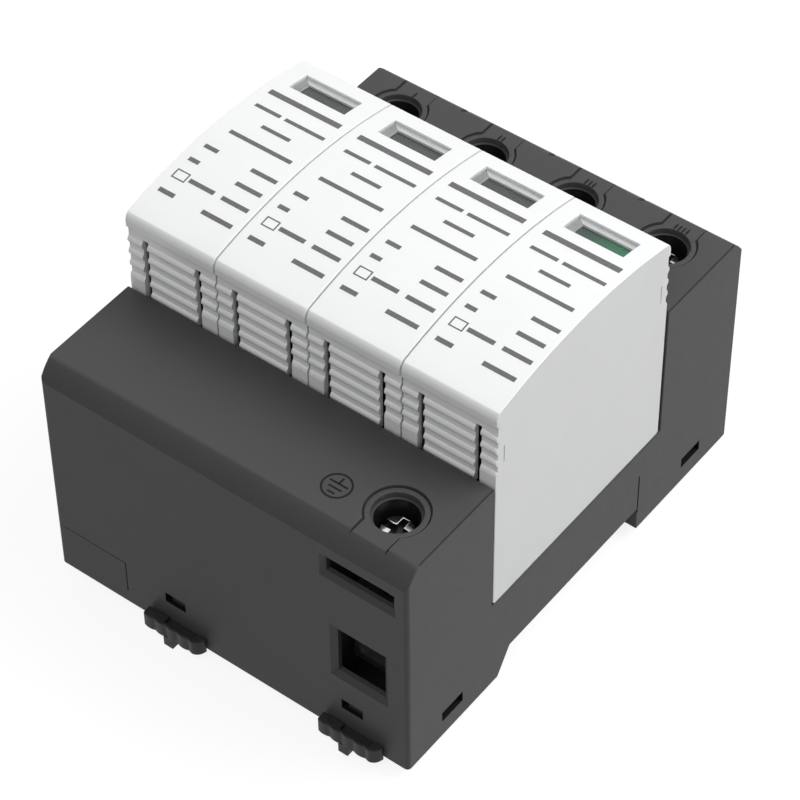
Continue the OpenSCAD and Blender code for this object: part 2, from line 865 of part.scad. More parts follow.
// Side view of a cartridge before its top is arched
module edged_outline() {
    translate([-cartridge_half, cartridge_z])
        square([cartridge_length, edge_z - cartridge_z]);
    translate([-edge_y, cartridge_z])
        square([2 * edge_y, cartridge_top - cartridge_z]);
    for (side = [-1, 1])
        translate([side * edge_y, edge_z])
            circle(r = edge_r);
}

// Side view of the hollow of a cartridge, open below
module cartridge_hollow_outline() {
    intersection() {
        arch_disc(cover_roof);
        translate([-cavity_y, cartridge_z - below])
            square([2 * cavity_y, cartridge_top - cartridge_z + below]);
    }
}

// Grip ribs at +Y between two places across the cartridge
module grip_ribs(x0, x1, count) {
    for (k = [0:count - 1])
        translate([x0, valley_y + rib_rise - rib_r, rib_top_z - k * rib_pitch])
            rotate([0, 90, 0])
                cylinder(r = rib_r, h = x1 - x0, $fn = 32);
}

// Room cut for the grip at +Y: sunk behind the lip
module grip_recess() {
    low = tab_end_z - tab_gap;
    span([-cartridge_w, valley_y, block_z], [cartridge_w, cartridge_half + below, lip_z]);
    span([-slit_outer, valley_y, low], [slit_outer, cartridge_half + below, lip_z]);
}

// Slits at +Y that free the squeeze tab, joined below it
module tab_slits() {
    low = tab_end_z - tab_gap;
    for (side = [-1, 1])
        translate([side * slit_x, 0, 0]) {
            span([-slit_w / 2, cavity_y - below, low], [slit_w / 2, cartridge_half + below, slit_top_z]);
            // Relief that thins the wall beside the slit from inside
            span([-slit_w / 2 - slit_relief, cavity_y - below, low],
                 [slit_w / 2 + slit_relief, valley_y - slit_skin, slit_top_z]);
        }
    span([-slit_outer, cavity_y - below, low], [slit_outer, cartridge_half + below, tab_end_z]);
}

// Room for the status flag under the thinner top around the window
module flag_room() {
    y0 = window_y - window_l / 2 - flag_over - flag_side;
    along_x(window_w + 2 * flag_over + 2 * flag_side)
        intersection() {
            arch_disc(window_roof);
            translate([y0, cartridge_top / 2])
                square([cavity_y - y0, cartridge_top / 2]);
        }
}

// Opening of the indicator window, narrower below the ledges
module window_opening() {
    y0 = window_y - window_l / 2;
    span([-window_w / 2 + window_left_ledge, y0, cartridge_top / 2],
         [window_w / 2 - window_ledge, y0 + window_l - window_rear_ledge, cartridge_top + below]);
    along_x(window_w)
        difference() {
            translate([y0, cartridge_top / 2])
                square([window_l, cartridge_top]);
            arch_disc(window_sunk + window_t + seat_gap);
        }
}

// White cover of a cartridge
module cartridge_cover(i) {
    half_w = cartridge_w / 2;
    mark_w = 0.3;
    mark_h = 4;
    mark_z = lip_z - 2 * rib_pitch;
    color(WHITE)
        translate([pole_x(i), 0, 0])
            difference() {
                union() {
                    difference() {
                        along_x(cartridge_w)
                            cartridge_outline();
                        grip_recess();
                        on_side(-1)
                            grip_recess();
                    }
                    for (side = [-1, 1])
                        on_side(side) {
                            grip_ribs(-slit_x, slit_x, tab_ribs);
                            grip_ribs(-half_w, -slit_x, side_ribs);
                            grip_ribs(slit_x, half_w, side_ribs);
                        }
                }
                along_x(2 * cavity_x)
                    cartridge_hollow_outline();
                flag_room();
                for (side = [-1, 1])
                    on_side(side)
                        tab_slits();
                window_opening();
                // Short mould marks on the side faces
                for (side = [-1, 1], end = [-1, 1])
                    span([side * half_w - mark_w, end * (cavity_y - fit) - mark_w / 2, mark_z - mark_h],
                         [side * half_w + mark_w, end * (cavity_y - fit) + mark_w / 2, mark_z]);
            }
}

// Floor plate inside the cover's rim, with slots for the blades
module cartridge_floor(i) {
    color(WHITE)
        translate([pole_x(i), 0, 0])
            difference() {
                span([-cavity_x + fit, -cavity_y + fit, cartridge_z],
                     [cavity_x - fit, cavity_y - fit, plate_top_z]);
                for (side = [-1, 1])
                    translate([0, side * blade_y, 0])
                        span([-blade_w / 2 - contact_play, -blade_t / 2 - contact_play, cartridge_z - below],
                             [blade_w / 2 + contact_play, blade_t / 2 + contact_play, plate_top_z + below]);
            }
}

// Clear window on the ledges of its opening
module status_window(i) {
    y0 = window_y - window_l / 2;
    color("#dfe8e6", 0.5)
        translate([pole_x(i), 0, 0])
            along_x(window_w - 2 * fit)
                difference() {
                    intersection() {
                        arch_disc(window_sunk);
                        translate([y0 + fit, cartridge_top / 2])
                            square([window_l - 2 * fit, cartridge_top / 2]);
                    }
                    arch_disc(window_sunk + window_t);
                }
}

// Status flag under the window, on a leg that stands on the floor plate
module status_flag(i) {
    leg_t = 1;
    y0 = window_y - window_l / 2 - flag_over;
    y1 = cavity_y - flag_side;
    leg_top_z = arch_z + sqrt(pow(arch_r - flag_depth, 2) - pow(y1, 2)) - flag_t / 2;
    color(i == pole_count ? "#2f8f5b" : "#66706c")
        translate([pole_x(i), 0, 0])
            union() {
                along_x(window_w + 2 * flag_over)
                    difference() {
                        intersection() {
                            arch_disc(flag_depth);
                            translate([y0, 0])
                                square([y1 - y0, cartridge_top]);
                        }
                        arch_disc(flag_depth + flag_t);
                    }
                span([-bar_w / 2, y1 - leg_t, plate_top_z], [bar_w / 2, y1, leg_top_z]);
            }
}

// Coated varistor block standing on the shoulders of the blades
module varistor(i) {
    r = 3;
    color("#2f5f9e")
        translate([pole_x(i), 0, shoulder_top_z])
            along_x(varistor_t)
                union() {
                    translate([-varistor_l / 2 + r, 0])
                        square([varistor_l - 2 * r, varistor_h]);
                    translate([-varistor_l / 2, r])
                        square([varistor_l, varistor_h - 2 * r]);
                    for (side = [-1, 1], z = [r, varistor_h - r])
                        translate([side * (varistor_l / 2 - r), z])
                            circle(r = r);
                }
}

// Plug blade at +Y, with shoulders on the floor plate
module blade_solid() {
    span([-blade_w / 2, blade_y - blade_t / 2, cartridge_z - blade_reach],
         [blade_w / 2, blade_y + blade_t / 2, shoulder_top_z]);
    span([-blade_w / 2 - blade_ear, blade_y - blade_t / 2, plate_top_z],
         [blade_w / 2 + blade_ear, blade_y + blade_t / 2, shoulder_top_z]);
}

module front_blade(i) {
    color(TINNED)
        translate([pole_x(i), 0, 0])
            on_side(-1)
                blade_solid();
}

module rear_blade(i) {
    color(TINNED)
        translate([pole_x(i), 0, 0])
            blade_solid();
}

// Thermal disconnect spring beside the varistor, with a foot on the floor plate
module disconnect_spring(i) {
    x0 = varistor_t / 2 + seat_gap;
    foot = 1.6;
    height = 0.65 * varistor_h;
    place_y = blade_y - blade_t / 2 - fit - spring_w;
    color("#b87333")
        translate([pole_x(i), 0, 0])
            union() {
                span([x0, place_y, plate_top_z], [x0 + spring_t, place_y + spring_w, plate_top_z + height]);
                span([x0, place_y, plate_top_z], [x0 + foot, place_y + spring_w, plate_top_z + spring_t]);
            }
}

base_housing();
bottom_cover();
earth_busbar();
earth_screw();
earth_cage();
rail_latch_left();
rail_latch_right();
for (i = [1:pole_count]) {
    line_contact(i);
    terminal_screw(i);
    terminal_cage(i);
    cartridge_cover(i);
    cartridge_floor(i);
    status_window(i);
    status_flag(i);
    varistor(i);
    front_blade(i);
    rear_blade(i);
    disconnect_spring(i);
}
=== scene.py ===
"""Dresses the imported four-pole plug-in surge arrester and sets it in a plain studio.

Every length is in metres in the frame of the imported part: X along the rail, +Y the line side,
-Y the earth side and +Z away from the rail. MM turns millimetres into metres.
"""
import logging
import math
from abc import ABC, abstractmethod
from dataclasses import dataclass
from enum import Enum
from functools import cache
from typing import Callable, Sequence

import bmesh
import bpy
from bmesh.types import BMEdge, BMesh
from bpy.types import Material, Mesh, MeshPolygon, Node, NodeSocket, Object
from mathutils import Matrix, Vector


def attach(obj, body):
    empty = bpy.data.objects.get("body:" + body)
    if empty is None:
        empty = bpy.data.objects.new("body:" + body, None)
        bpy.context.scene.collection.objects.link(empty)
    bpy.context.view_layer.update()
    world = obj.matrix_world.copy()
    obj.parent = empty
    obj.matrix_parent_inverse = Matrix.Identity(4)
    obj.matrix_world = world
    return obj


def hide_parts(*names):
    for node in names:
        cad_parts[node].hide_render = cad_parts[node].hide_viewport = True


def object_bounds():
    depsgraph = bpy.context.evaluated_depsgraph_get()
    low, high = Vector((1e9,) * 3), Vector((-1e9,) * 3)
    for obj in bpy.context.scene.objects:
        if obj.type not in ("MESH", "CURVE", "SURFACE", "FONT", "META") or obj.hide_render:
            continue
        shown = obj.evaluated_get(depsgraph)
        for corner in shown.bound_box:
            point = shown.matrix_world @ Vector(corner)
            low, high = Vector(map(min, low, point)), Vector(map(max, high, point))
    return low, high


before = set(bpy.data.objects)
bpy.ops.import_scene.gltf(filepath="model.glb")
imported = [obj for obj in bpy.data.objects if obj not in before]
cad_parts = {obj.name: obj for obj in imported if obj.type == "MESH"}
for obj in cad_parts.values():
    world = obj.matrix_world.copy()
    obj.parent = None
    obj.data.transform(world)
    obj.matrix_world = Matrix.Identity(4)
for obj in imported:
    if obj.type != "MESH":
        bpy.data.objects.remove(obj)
CAD_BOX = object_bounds()
MM = 0.001
POLE_PITCH = 18 * MM
POLE_X = {i: (i - 2.5) * POLE_PITCH for i in (1, 2, 3, 4)}
EARTH_POLE = 4  # the earth terminal stands before this pole
GREEN_POLE = 4  # the pole with the green flag
SCREW_Y = 35.5 * MM
TERMINALS = [(x, SCREW_Y) for x in POLE_X.values()] + [(POLE_X[EARTH_POLE], -SCREW_Y)]
BLOCK_TOP = 42 * MM

WELD = 0.001 * MM  # points closer than this are one
NEAR = 0.03 * MM  # a point this near a plane lies on it
SLACK = 0.05 * MM  # a point this far past an outline still lies in it
FLAT_DEG = 0.4  # edges flatter than this lie inside a face
SMOOTH_DEG = 22  # edges flatter than this look smooth
SOFT_DEG = 60  # the same, beside a rounding
SHARP_DEG = 40  # edges sharper than this can be rounded
SLANT = (0.1, 0.98)  # parts of a normal between these are those of a rounding
NOISE_RANGE = (0.3, 0.7)  # the part of a noise's range that is used
UNEVEN = 0.03  # usual spread of a roughness to each side
WHITE = (1, 1, 1, 1)
log = logging.getLogger("arrester")

Pair = tuple[float, float]
Triple = tuple[float, float, float]
FaceTest = Callable[[MeshPolygon], bool]
EdgeRadius = Callable[[Vector, Vector], float]


class Side(Enum):
    """The two terminal sides of the base."""

    EARTH = -1
    LINE = 1


# Node trees


class Graph:
    """Adds linked nodes to a node tree."""

    def __init__(self, tree: bpy.types.NodeTree) -> None:
        """Takes over a tree and empties it.

        Args:
            tree: The tree to fill.
        """
        self.tree = tree
        self.tree.nodes.clear()

    def feed(self, value: object, target: NodeSocket) -> None:
        """Links a socket to an input, or sets the input.

        Args:
            value: The socket to link or the value to set.
            target: The input.
        """
        if isinstance(value, NodeSocket):
            self.tree.links.new(value, target)
        else:
            target.default_value = value

    def add(self, kind: str, values: dict[str | int, object] | None = None,
            **settings: object) -> Node:
        """Adds a node.

        Args:
            kind: The node's type name.
            values: Socket or value for each input, by the input's name or number.
            settings: Attributes of the node to set.

        Returns:
            The new node.
        """
        node = self.tree.nodes.new(kind)
        for key, value in settings.items():
            setattr(node, key, value)
        for key, value in (values or {}).items():
            self.feed(value, node.inputs[key])
        return node

    def maths(self, operation: str, *values: NodeSocket | float) -> NodeSocket:
        """Adds a math node over sockets or numbers and returns its result."""
        return self.add("ShaderNodeMath", dict(enumerate(values)), operation=operation).outputs[0]


class Sketch(Graph):
    """The node tree of one material."""

    def __init__(self, material: Material) -> None:
        """Empties the material's tree and gives it a shader and an output.

        Args:
            material: The material to fill.
        """
        material.use_nodes = True
        super().__init__(material.node_tree)
        self.shader = self.add("ShaderNodeBsdfPrincipled")
        self.add("ShaderNodeOutputMaterial", {"Surface": self.shader.outputs[0]})

    def place(self) -> NodeSocket:
        """Adds Object coordinates."""
        return self.add("ShaderNodeTexCoord").outputs["Object"]

    def noise(self, scale: float, detail: float = 2.0, roughness: float = 0.5,
              stretch: Sequence[float] = (1, 1, 1)) -> NodeSocket:
        """Adds a noise on Object coordinates.

        Args:
            scale: Cells per metre.
            detail: Octaves of the noise.
            roughness: Weight of the fine octaves.
            stretch: Scale of the coordinates along X, Y and Z.

        Returns:
            The noise's value, about 0 to 1.
        """
        mapping = self.add("ShaderNodeMapping", {"Vector": self.place(), "Scale": stretch})
        values = {"Vector": mapping.outputs["Vector"], "Scale": scale, "Detail": detail, "Roughness": roughness}
        return self.add("ShaderNodeTexNoise", values).outputs["Fac"]

    def colour(self, noise: NodeSocket, first: Sequence[float], second: Sequence[float]) -> None:
        """Mixes two colours into the shader's colour.

        Args:
            noise: The noise that mixes them.
            first: Linear colour where the noise is low.
            second: Linear colour where the noise is high.
        """
        ramp = self.add("ShaderNodeValToRGB", {"Fac": noise})
        for stop, place, colour in zip(ramp.color_ramp.elements, NOISE_RANGE, (first, second)):
            stop.position = place
            stop.color = (*colour, 1)
        self.feed(ramp.outputs["Color"], self.shader.inputs["Base Color"])

    def roughen(self, noise: NodeSocket, low: float, high: float) -> None:
        """Makes the shader's roughness uneven.

        Args:
            noise: The noise that it follows.
            low: Roughness where the noise is low.
            high: Roughness where the noise is high.
        """
        span = self.add("ShaderNodeMapRange", {"Value": noise, "From Min": NOISE_RANGE[0],
                                               "From Max": NOISE_RANGE[1], "To Min": low, "To Max": high})
        self.feed(span.outputs["Result"], self.shader.inputs["Roughness"])

    def bump(self, noise: NodeSocket, strength: float, depth: float) -> None:
        """Raises the surface by a noise.

        Args:
            noise: The noise.
            strength: Share of the bump that shows.
            depth: Height of the noise from 0 to 1.
        """
        raised = self.add("ShaderNodeBump", {"Height": noise, "Strength": strength, "Distance": depth})
        self.feed(raised.outputs["Normal"], self.shader.inputs["Normal"])


# Finishes


def shade(colour: Sequence[float], factor: float) -> tuple[float, ...]:
    """Returns a colour made lighter or darker by a factor."""
    return tuple(min(1.0, c * factor) for c in colour)


@dataclass(frozen=True)
class Finish(ABC):
    """A procedural surface finish, made into a material once."""

    name: str
    colour: Triple

    @cache
    def material(self) -> Material:
        """Makes the finish's material, once.

        Returns:
            The material.
        """
        made = bpy.data.materials.new(self.name)
        self.paint(Sketch(made))
        return made

    @abstractmethod
    def paint(self, sketch: Sketch) -> None:
        """Wires the finish.

        Args:
            sketch: The material's tree.
        """


@dataclass(frozen=True)
class MouldedPlastic(Finish):
    """Spark-eroded moulded plastic with flow clouds and a fine grain."""

    roughness: float = 0.5
    gloss: float = 0.5
    cloud: float = 0.05
    wear: float = 0.03
    grain: float = 0.25
    grain_size: float = 0.22 * MM
    grain_depth: float = 0.02 * MM
    flow_cells: float = 90
    wear_cells: float = 450

    def paint(self, sketch: Sketch) -> None:
        """Wires cloudy colour, uneven roughness and the mould's grain."""
        sketch.shader.inputs["Specular IOR Level"].default_value = self.gloss
        flow = sketch.noise(self.flow_cells, detail=3, roughness=0.55, stretch=(1, 1.6, 1))
        sketch.colour(flow, shade(self.colour, 1 - self.cloud), shade(self.colour, 1 + self.cloud))
        wear = sketch.noise(self.wear_cells, detail=4, roughness=0.6)
        sketch.roughen(wear, self.roughness - self.wear, self.roughness + self.wear)
        sketch.bump(sketch.noise(1 / self.grain_size, roughness=0.55), self.grain, self.grain_depth)


@dataclass(frozen=True)
class FlagWithPaintedShade(Finish):
    """Moulded flag whose first colour, a painted shade, turns into its own second colour along the rail."""

    second: Triple
    start: float
    end: float
    roughness: float = 0.4
    wear_cells: float = 450
    grain: float = 0.1
    grain_depth: float = 0.02 * MM

    def paint(self, sketch: Sketch) -> None:
        """Wires the painted shade that fades out along X, uneven roughness and a fine grain."""
        along = sketch.add("ShaderNodeSeparateXYZ", {"Vector": sketch.place()}).outputs["X"]
        fade = sketch.add("ShaderNodeMapRange", {"Value": along, "From Min": self.start, "From Max": self.end})
        sketch.colour(fade.outputs["Result"], self.colour, self.second)
        wear = sketch.noise(self.wear_cells, detail=4, roughness=0.6)
        sketch.roughen(wear, self.roughness - UNEVEN, self.roughness + UNEVEN)
        sketch.bump(wear, self.grain, self.grain_depth)


@dataclass(frozen=True)
class PlatedMetal(Finish):
    """Zinc, tin or bare metal with faint tarnish and drawing lines."""

    roughness: float = 0.25
    lines: Triple = (1, 1, 0.15)
    tarnish: float = 0.94
    tarnish_cells: float = 500
    line_cells: float = 2500
    line_bump: float = 0.03
    line_depth: float = 0.01 * MM

    def paint(self, sketch: Sketch) -> None:
        """Wires tarnish clouds, streaked roughness and drawing lines."""
        sketch.shader.inputs["Metallic"].default_value = 1
        sketch.colour(sketch.noise(self.tarnish_cells, detail=3), shade(self.colour, self.tarnish), self.colour)
        streaks = sketch.noise(self.line_cells, stretch=self.lines)
        sketch.roughen(streaks, self.roughness - UNEVEN, self.roughness + UNEVEN)
        sketch.bump(streaks, self.line_bump, self.line_depth)


@dataclass(frozen=True)
class ClearPlastic(Finish):
    """Clear moulded window plastic, thin enough to show what lies below it unbent."""

    roughness: float = 0.06
    body: float = 0.12
    ior: float = 1.49
    haze: float = 0.97
    haze_cells: float = 900
    ripple: float = 0.05
    ripple_cells: float = 500
    ripple_depth: float = 0.02 * MM

    def paint(self, sketch: Sketch) -> None:
        """Wires a clear body with a faint ripple."""
        sketch.shader.inputs["Alpha"].default_value = self.body
        sketch.shader.inputs["IOR"].default_value = self.ior
        haze = sketch.noise(self.haze_cells)
        sketch.colour(haze, shade(self.colour, self.haze), self.colour)
        sketch.roughen(haze, self.roughness - UNEVEN, self.roughness + UNEVEN)
        sketch.bump(sketch.noise(self.ripple_cells, detail=1), self.ripple, self.ripple_depth)


@dataclass(frozen=True)
class EpoxyCoat(Finish):
    """Dipped epoxy coat with an orange-peel surface."""

    smooth: float = 0.25
    rough: float = 0.4
    pits: float = 0.85
    peel: float = 0.5
    peel_cells: float = 1100
    peel_depth: float = 0.06 * MM

    def paint(self, sketch: Sketch) -> None:
        """Wires the coat's colour, gloss and peel."""
        peel = sketch.noise(self.peel_cells)
        sketch.colour(peel, shade(self.colour, self.pits), self.colour)
        sketch.roughen(peel, self.smooth, self.rough)
        sketch.bump(peel, self.peel, self.peel_depth)


@dataclass(frozen=True)
class PrintInk(Finish):
    """Pad-printed ink with thin spots."""

    gloss: float = 0.1
    thin: float = 1.35
    smooth: float = 0.5
    rough: float = 0.65
    cover_cells: float = 2500

    def paint(self, sketch: Sketch) -> None:
        """Wires ink that covers a little unevenly."""
        sketch.shader.inputs["Specular IOR Level"].default_value = self.gloss
        cover = sketch.noise(self.cover_cells, detail=3, roughness=0.6)
        sketch.colour(cover, self.colour, shade(self.colour, self.thin))
        sketch.roughen(cover, self.smooth, self.rough)


BASE_GREY = MouldedPlastic("base_grey", (0.064, 0.064, 0.0655), 0.46, gloss=0.2, cloud=0.02, wear=0.02,
                           grain=0.2)
# Painted shade: a darker colour for the rounded edges between the block tops and the sides, standing in for a
# shadow line.
EDGE_PAINTED_SHADE = MouldedPlastic("edge_painted_shade", (0.026, 0.026, 0.027), gloss=0.1, cloud=0.03, grain=0.2)
# Painted shade: near black for the walls of the driver bores and the snap windows, standing in for the shade in
# these recesses.
RECESS_PAINTED_SHADE = MouldedPlastic("recess_painted_shade", (0.008, 0.008, 0.0085), gloss=0.1, cloud=0.03, grain=0.2)
LATCH_BLACK = MouldedPlastic("latch_black", (0.026, 0.026, 0.027), 0.42, gloss=0.25, cloud=0.03, grain=0.2)
COVER_WHITE = MouldedPlastic("cover_white", (0.84, 0.845, 0.85), 0.36, cloud=0.012, grain=0.12)
FLAG_GREY = MouldedPlastic("flag_grey_plastic", (0.075, 0.085, 0.081), 0.4, cloud=0.1, grain=0.1)
# Painted shade: the green flag is painted a dark grey-green towards -X, standing in for the shade over that end.
FLAG_GREEN = FlagWithPaintedShade("flag_green_plastic", (0.045, 0.075, 0.06), (0.03, 0.2, 0.1), 20 * MM, 34 * MM)
# Painted shade: grey for the white ledge at the left end of each window, standing in for the shade there.
LEDGE_PAINTED_SHADE = MouldedPlastic("ledge_painted_shade", (0.4, 0.405, 0.4), 0.4, cloud=0.2, grain=0.3)
WINDOW_CLEAR = ClearPlastic("window_clear", (0.10, 0.115, 0.11))
ZINC = PlatedMetal("zinc_plate", (0.80, 0.81, 0.82), roughness=0.13)
CAGE_ZINC = PlatedMetal("cage_zinc", (0.62, 0.63, 0.64), roughness=0.34)
# Painted shade: dark steel for the recess of the screw heads and for the threads, standing in for the shade they
# lie in.
SCREW_PAINTED_SHADE = PlatedMetal("screw_painted_shade", (0.1, 0.102, 0.105), roughness=0.3)
TIN = PlatedMetal("tin_plate", (0.74, 0.72, 0.67), roughness=0.32, lines=(0.2, 1, 1))
COPPER = PlatedMetal("spring_wire_copper", (0.72, 0.38, 0.22), roughness=0.3)
VARISTOR_BLUE = EpoxyCoat("varistor_blue", (0.02, 0.09, 0.30))
LABEL_INK = PrintInk("label_ink", (0.13, 0.13, 0.135))
SIGN_INK = PrintInk("sign_ink", (0.013, 0.013, 0.013))


# Mesh helpers


def near(value: float, *targets: float) -> bool:
    """Says whether a value lies on one of the targets."""
    return any(abs(value - target) < NEAR for target in targets)


def slanted(part: float) -> bool:
    """Says whether one part of a face's normal is that of a rounding."""
    return SLANT[0] < part < SLANT[1]


def new_object(name: str, mesh: Mesh, finish: Finish) -> Object:
    """Links a mesh to the scene as an object at the origin.

    Args:
        name: Name of the piece.
        mesh: Its mesh, in the part's frame.
        finish: Its finish.

    Returns:
        The object.
    """
    mesh.materials.clear()
    mesh.materials.append(finish.material())
    piece = bpy.data.objects.new(name, mesh)
    bpy.context.scene.collection.objects.link(piece)
    return piece


def tint_faces(piece: Object, finish: Finish, chosen: FaceTest) -> None:
    """Gives some faces of a piece a finish of their own.

    Args:
        piece: The piece.
        finish: The finish of the chosen faces.
        chosen: Says whether a face is one of them.
    """
    piece.data.materials.append(finish.material())
    slot = len(piece.data.materials) - 1
    for face in piece.data.polygons:
        if chosen(face):
            face.material_index = slot


def bake(holder: Object, **options: object) -> Mesh:
    """Turns an object and its modifiers into a plain mesh.

    Args:
        holder: The object, not yet in the scene. It is removed with its own mesh.
        options: What else the conversion is told.

    Returns:
        The mesh.
    """
    source = holder.data
    bpy.context.scene.collection.objects.link(holder)
    bpy.context.view_layer.update()
    graph = bpy.context.evaluated_depsgraph_get()
    result = bpy.data.meshes.new_from_object(holder.evaluated_get(graph), depsgraph=graph, **options)
    bpy.data.objects.remove(holder)
    bpy.data.meshes.remove(source)
    return result


def finish_mesh(bm: BMesh, name: str) -> Mesh:
    """Turns a bmesh into a mesh that is smooth up to an angle and over its roundings.

    Args:
        bm: The bmesh, which is freed. Faces of roundings hold 1 in the layer "rounded".
        name: Name of the mesh.

    Returns:
        The mesh, with normals weighted by area so that flat faces look flat.
    """
    rounded = bm.faces.layers.int.get("rounded")
    for face in bm.faces:
        face.smooth = True
    for edge in bm.edges:
        soft = rounded is not None and any(face[rounded] for face in edge.link_faces)
        angle = edge.calc_face_angle(0) if len(edge.link_faces) == 2 else math.pi
        edge.smooth = angle < math.radians(SOFT_DEG if soft else SMOOTH_DEG)
    mesh = bpy.data.meshes.new(name)
    bm.to_mesh(mesh)
    bm.free()
    holder = bpy.data.objects.new(name + "_raw", mesh)
    holder.modifiers.new("weight", "WEIGHTED_NORMAL").keep_sharp = True
    result = bake(holder, preserve_all_data_layers=True)
    result.name = name
    return result


def node_bmesh(node: str) -> BMesh:
    """Copies a CAD node into a bmesh of whole faces.

    Args:
        node: The CAD node.

    Returns:
        The copy, merged and without edges inside flat faces.
    """
    bm = bmesh.new()
    bm.from_mesh(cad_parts[node].data)
    bmesh.ops.remove_doubles(bm, verts=bm.verts, dist=WELD)
    bmesh.ops.dissolve_limit(bm, angle_limit=math.radians(FLAT_DEG), verts=bm.verts, edges=bm.edges)
    bm.faces.layers.int.new("rounded")
    return bm


def round_edges(bm: BMesh, radius: EdgeRadius, segments: int) -> None:
    """Rounds the sharp outer edges of a bmesh.

    Args:
        bm: The bmesh to change.
        radius: Gives the radius of an edge from its two ends, or 0 to leave it.
        segments: Faces across each rounding.
    """
    rounded = bm.faces.layers.int["rounded"]
    groups: dict[float, list[BMEdge]] = {}
    for edge in bm.edges:
        if edge.is_convex and edge.calc_face_angle(0) > math.radians(SHARP_DEG):
            r = radius(edge.verts[0].co, edge.verts[1].co)
            if r > 0:
                groups.setdefault(r, []).append(edge)
    for r, edges in sorted(groups.items(), reverse=True):
        alive = [edge for edge in edges if edge.is_valid]
        made = bmesh.ops.bevel(bm, geom=alive, offset=r, offset_type="OFFSET", segments=segments, profile=0.5,
                               affect="EDGES", clamp_overlap=False, loop_slide=True)
        for face in made["faces"]:
            face[rounded] = 1
    bmesh.ops.triangulate(bm, faces=[face for face in bm.faces if len(face.verts) > 4])
    bmesh.ops.dissolve_degenerate(bm, dist=WELD / 2, edges=bm.edges)


def rounded_piece(name: str, bm: BMesh, finish: Finish, radius: EdgeRadius,
                  segments: int = 3) -> Object:
    """Rounds the edges of a bmesh and makes it a piece."""
    round_edges(bm, radius, segments)
    return new_object(name, finish_mesh(bm, name), finish)


def add_slab(bm: BMesh, outline: Sequence[Pair], low: float, high: float) -> None:
    """Adds a closed flat slab.

    Args:
        bm: The bmesh to add to.
        outline: Corners in X and Y, anticlockwise from above.
        low: Height of its underside.
        high: Height of its top.
    """
    under = [bm.verts.new((x, y, low)) for x, y in outline]
    over = [bm.verts.new((x, y, high)) for x, y in outline]
    bm.faces.new(over)
    bm.faces.new(under[::-1])
    for k in range(len(outline)):
        n = (k + 1) % len(outline)
        bm.faces.new((under[k], under[n], over[n], over[k]))


def settle(piece: Object, body: str, slot: str, *nodes: str) -> None:
    """Makes a piece ride on a body and stand for CAD nodes.

    Args:
        piece: The piece.
        body: The body that it moves with.
        slot: Name of a material slot, not used.
        nodes: The CAD nodes that it replaces.
    """
    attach(piece, body)
    if nodes:
        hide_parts(*nodes)
    log.info("%s rides on %s", piece.name, body)


def dress_node(node: str, finish: Finish) -> None:
    """Gives a carried-over CAD node its finish.

    Args:
        node: The CAD node.
        finish: Its finish.
    """
    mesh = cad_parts[node].data
    mesh.materials.clear()
    mesh.materials.append(finish.material())
    log.info("%s keeps its solid, in %s", node, finish.name)


# Geometry Nodes


class NodeTree(Graph):
    """A Geometry Nodes tree that repeats a shape at the points of a mesh."""

    def __init__(self, name: str, numbers: Sequence[str], material: str) -> None:
        """Starts a tree with its inputs and its output.

        Args:
            name: Name of the tree.
            numbers: Names of its number inputs.
            material: Name of its material input.
        """
        super().__init__(bpy.data.node_groups.new(name, "GeometryNodeTree"))
        kinds = {"Geometry": "NodeSocketGeometry", **dict.fromkeys(numbers, "NodeSocketFloat"),
                 material: "NodeSocketMaterial"}
        face = self.tree.interface
        self.sockets = {key: face.new_socket(key, in_out="INPUT", socket_type=kind).identifier
                        for key, kind in kinds.items()}
        face.new_socket("Geometry", in_out="OUTPUT", socket_type="NodeSocketGeometry")
        self.source = self.add("NodeGroupInput")
        self.numbers = [self.source.outputs[key] for key in numbers]
        self.finish = self.source.outputs[material]

    def vector(self, **parts: NodeSocket) -> NodeSocket:
        """Adds a vector from its parts X, Y and Z."""
        return self.add("ShaderNodeCombineXYZ", parts).outputs["Vector"]

    def half(self, value: NodeSocket) -> NodeSocket:
        """Halves a number."""
        return self.maths("DIVIDE", value, 2.0)

    def raised(self, geometry: NodeSocket, height: NodeSocket) -> NodeSocket:
        """Moves a geometry up by a height."""
        values = {"Geometry": geometry, "Translation": self.vector(Z=height)}
        return self.add("GeometryNodeTransform", values).outputs["Geometry"]

    def repeat(self, shape: NodeSocket, **more: NodeSocket) -> NodeSocket:
        """Sets a shape at each point of the mesh.

        Args:
            shape: The geometry to repeat.
            more: Other inputs of the repeat, such as its Scale.

        Returns:
            The copies, made real.
        """
        values = {"Points": self.source.outputs["Geometry"], "Instance": shape, **more}
        copies = self.add("GeometryNodeInstanceOnPoints", values).outputs["Instances"]
        return self.add("GeometryNodeRealizeInstances", {"Geometry": copies}).outputs["Geometry"]

    def close(self, geometry: NodeSocket) -> None:
        """Gives a geometry its material and ends the tree with it."""
        paint = self.add("GeometryNodeSetMaterial", {"Geometry": geometry, "Material": self.finish})
        self.add("NodeGroupOutput", {"Geometry": paint.outputs["Geometry"]})

    def run(self, name: str, mesh: Mesh, values: dict[str, object], finish: Finish) -> Object:
        """Applies the tree and keeps the result as a plain mesh.

        Args:
            name: Name of the piece.
            mesh: The mesh of points that the tree starts from.
            values: Value of each named input.
            finish: Finish of the piece.

        Returns:
            The finished object, with no modifier left.
        """
        holder = bpy.data.objects.new(name + "_points", mesh)
        modifier = holder.modifiers.new("tree", "NODES")
        modifier.node_group = self.tree
        for key, value in values.items():
            modifier[self.sockets[key]] = value
        return new_object(name, bake(holder), finish)


def loose_points(name: str, places: Sequence[Sequence[float]]) -> Mesh:
    """Makes a mesh of loose points.

    Args:
        name: Name of the mesh.
        places: The points.

    Returns:
        The mesh.
    """
    mesh = bpy.data.meshes.new(name)
    mesh.from_pydata([tuple(place) for place in places], [], [])
    return mesh


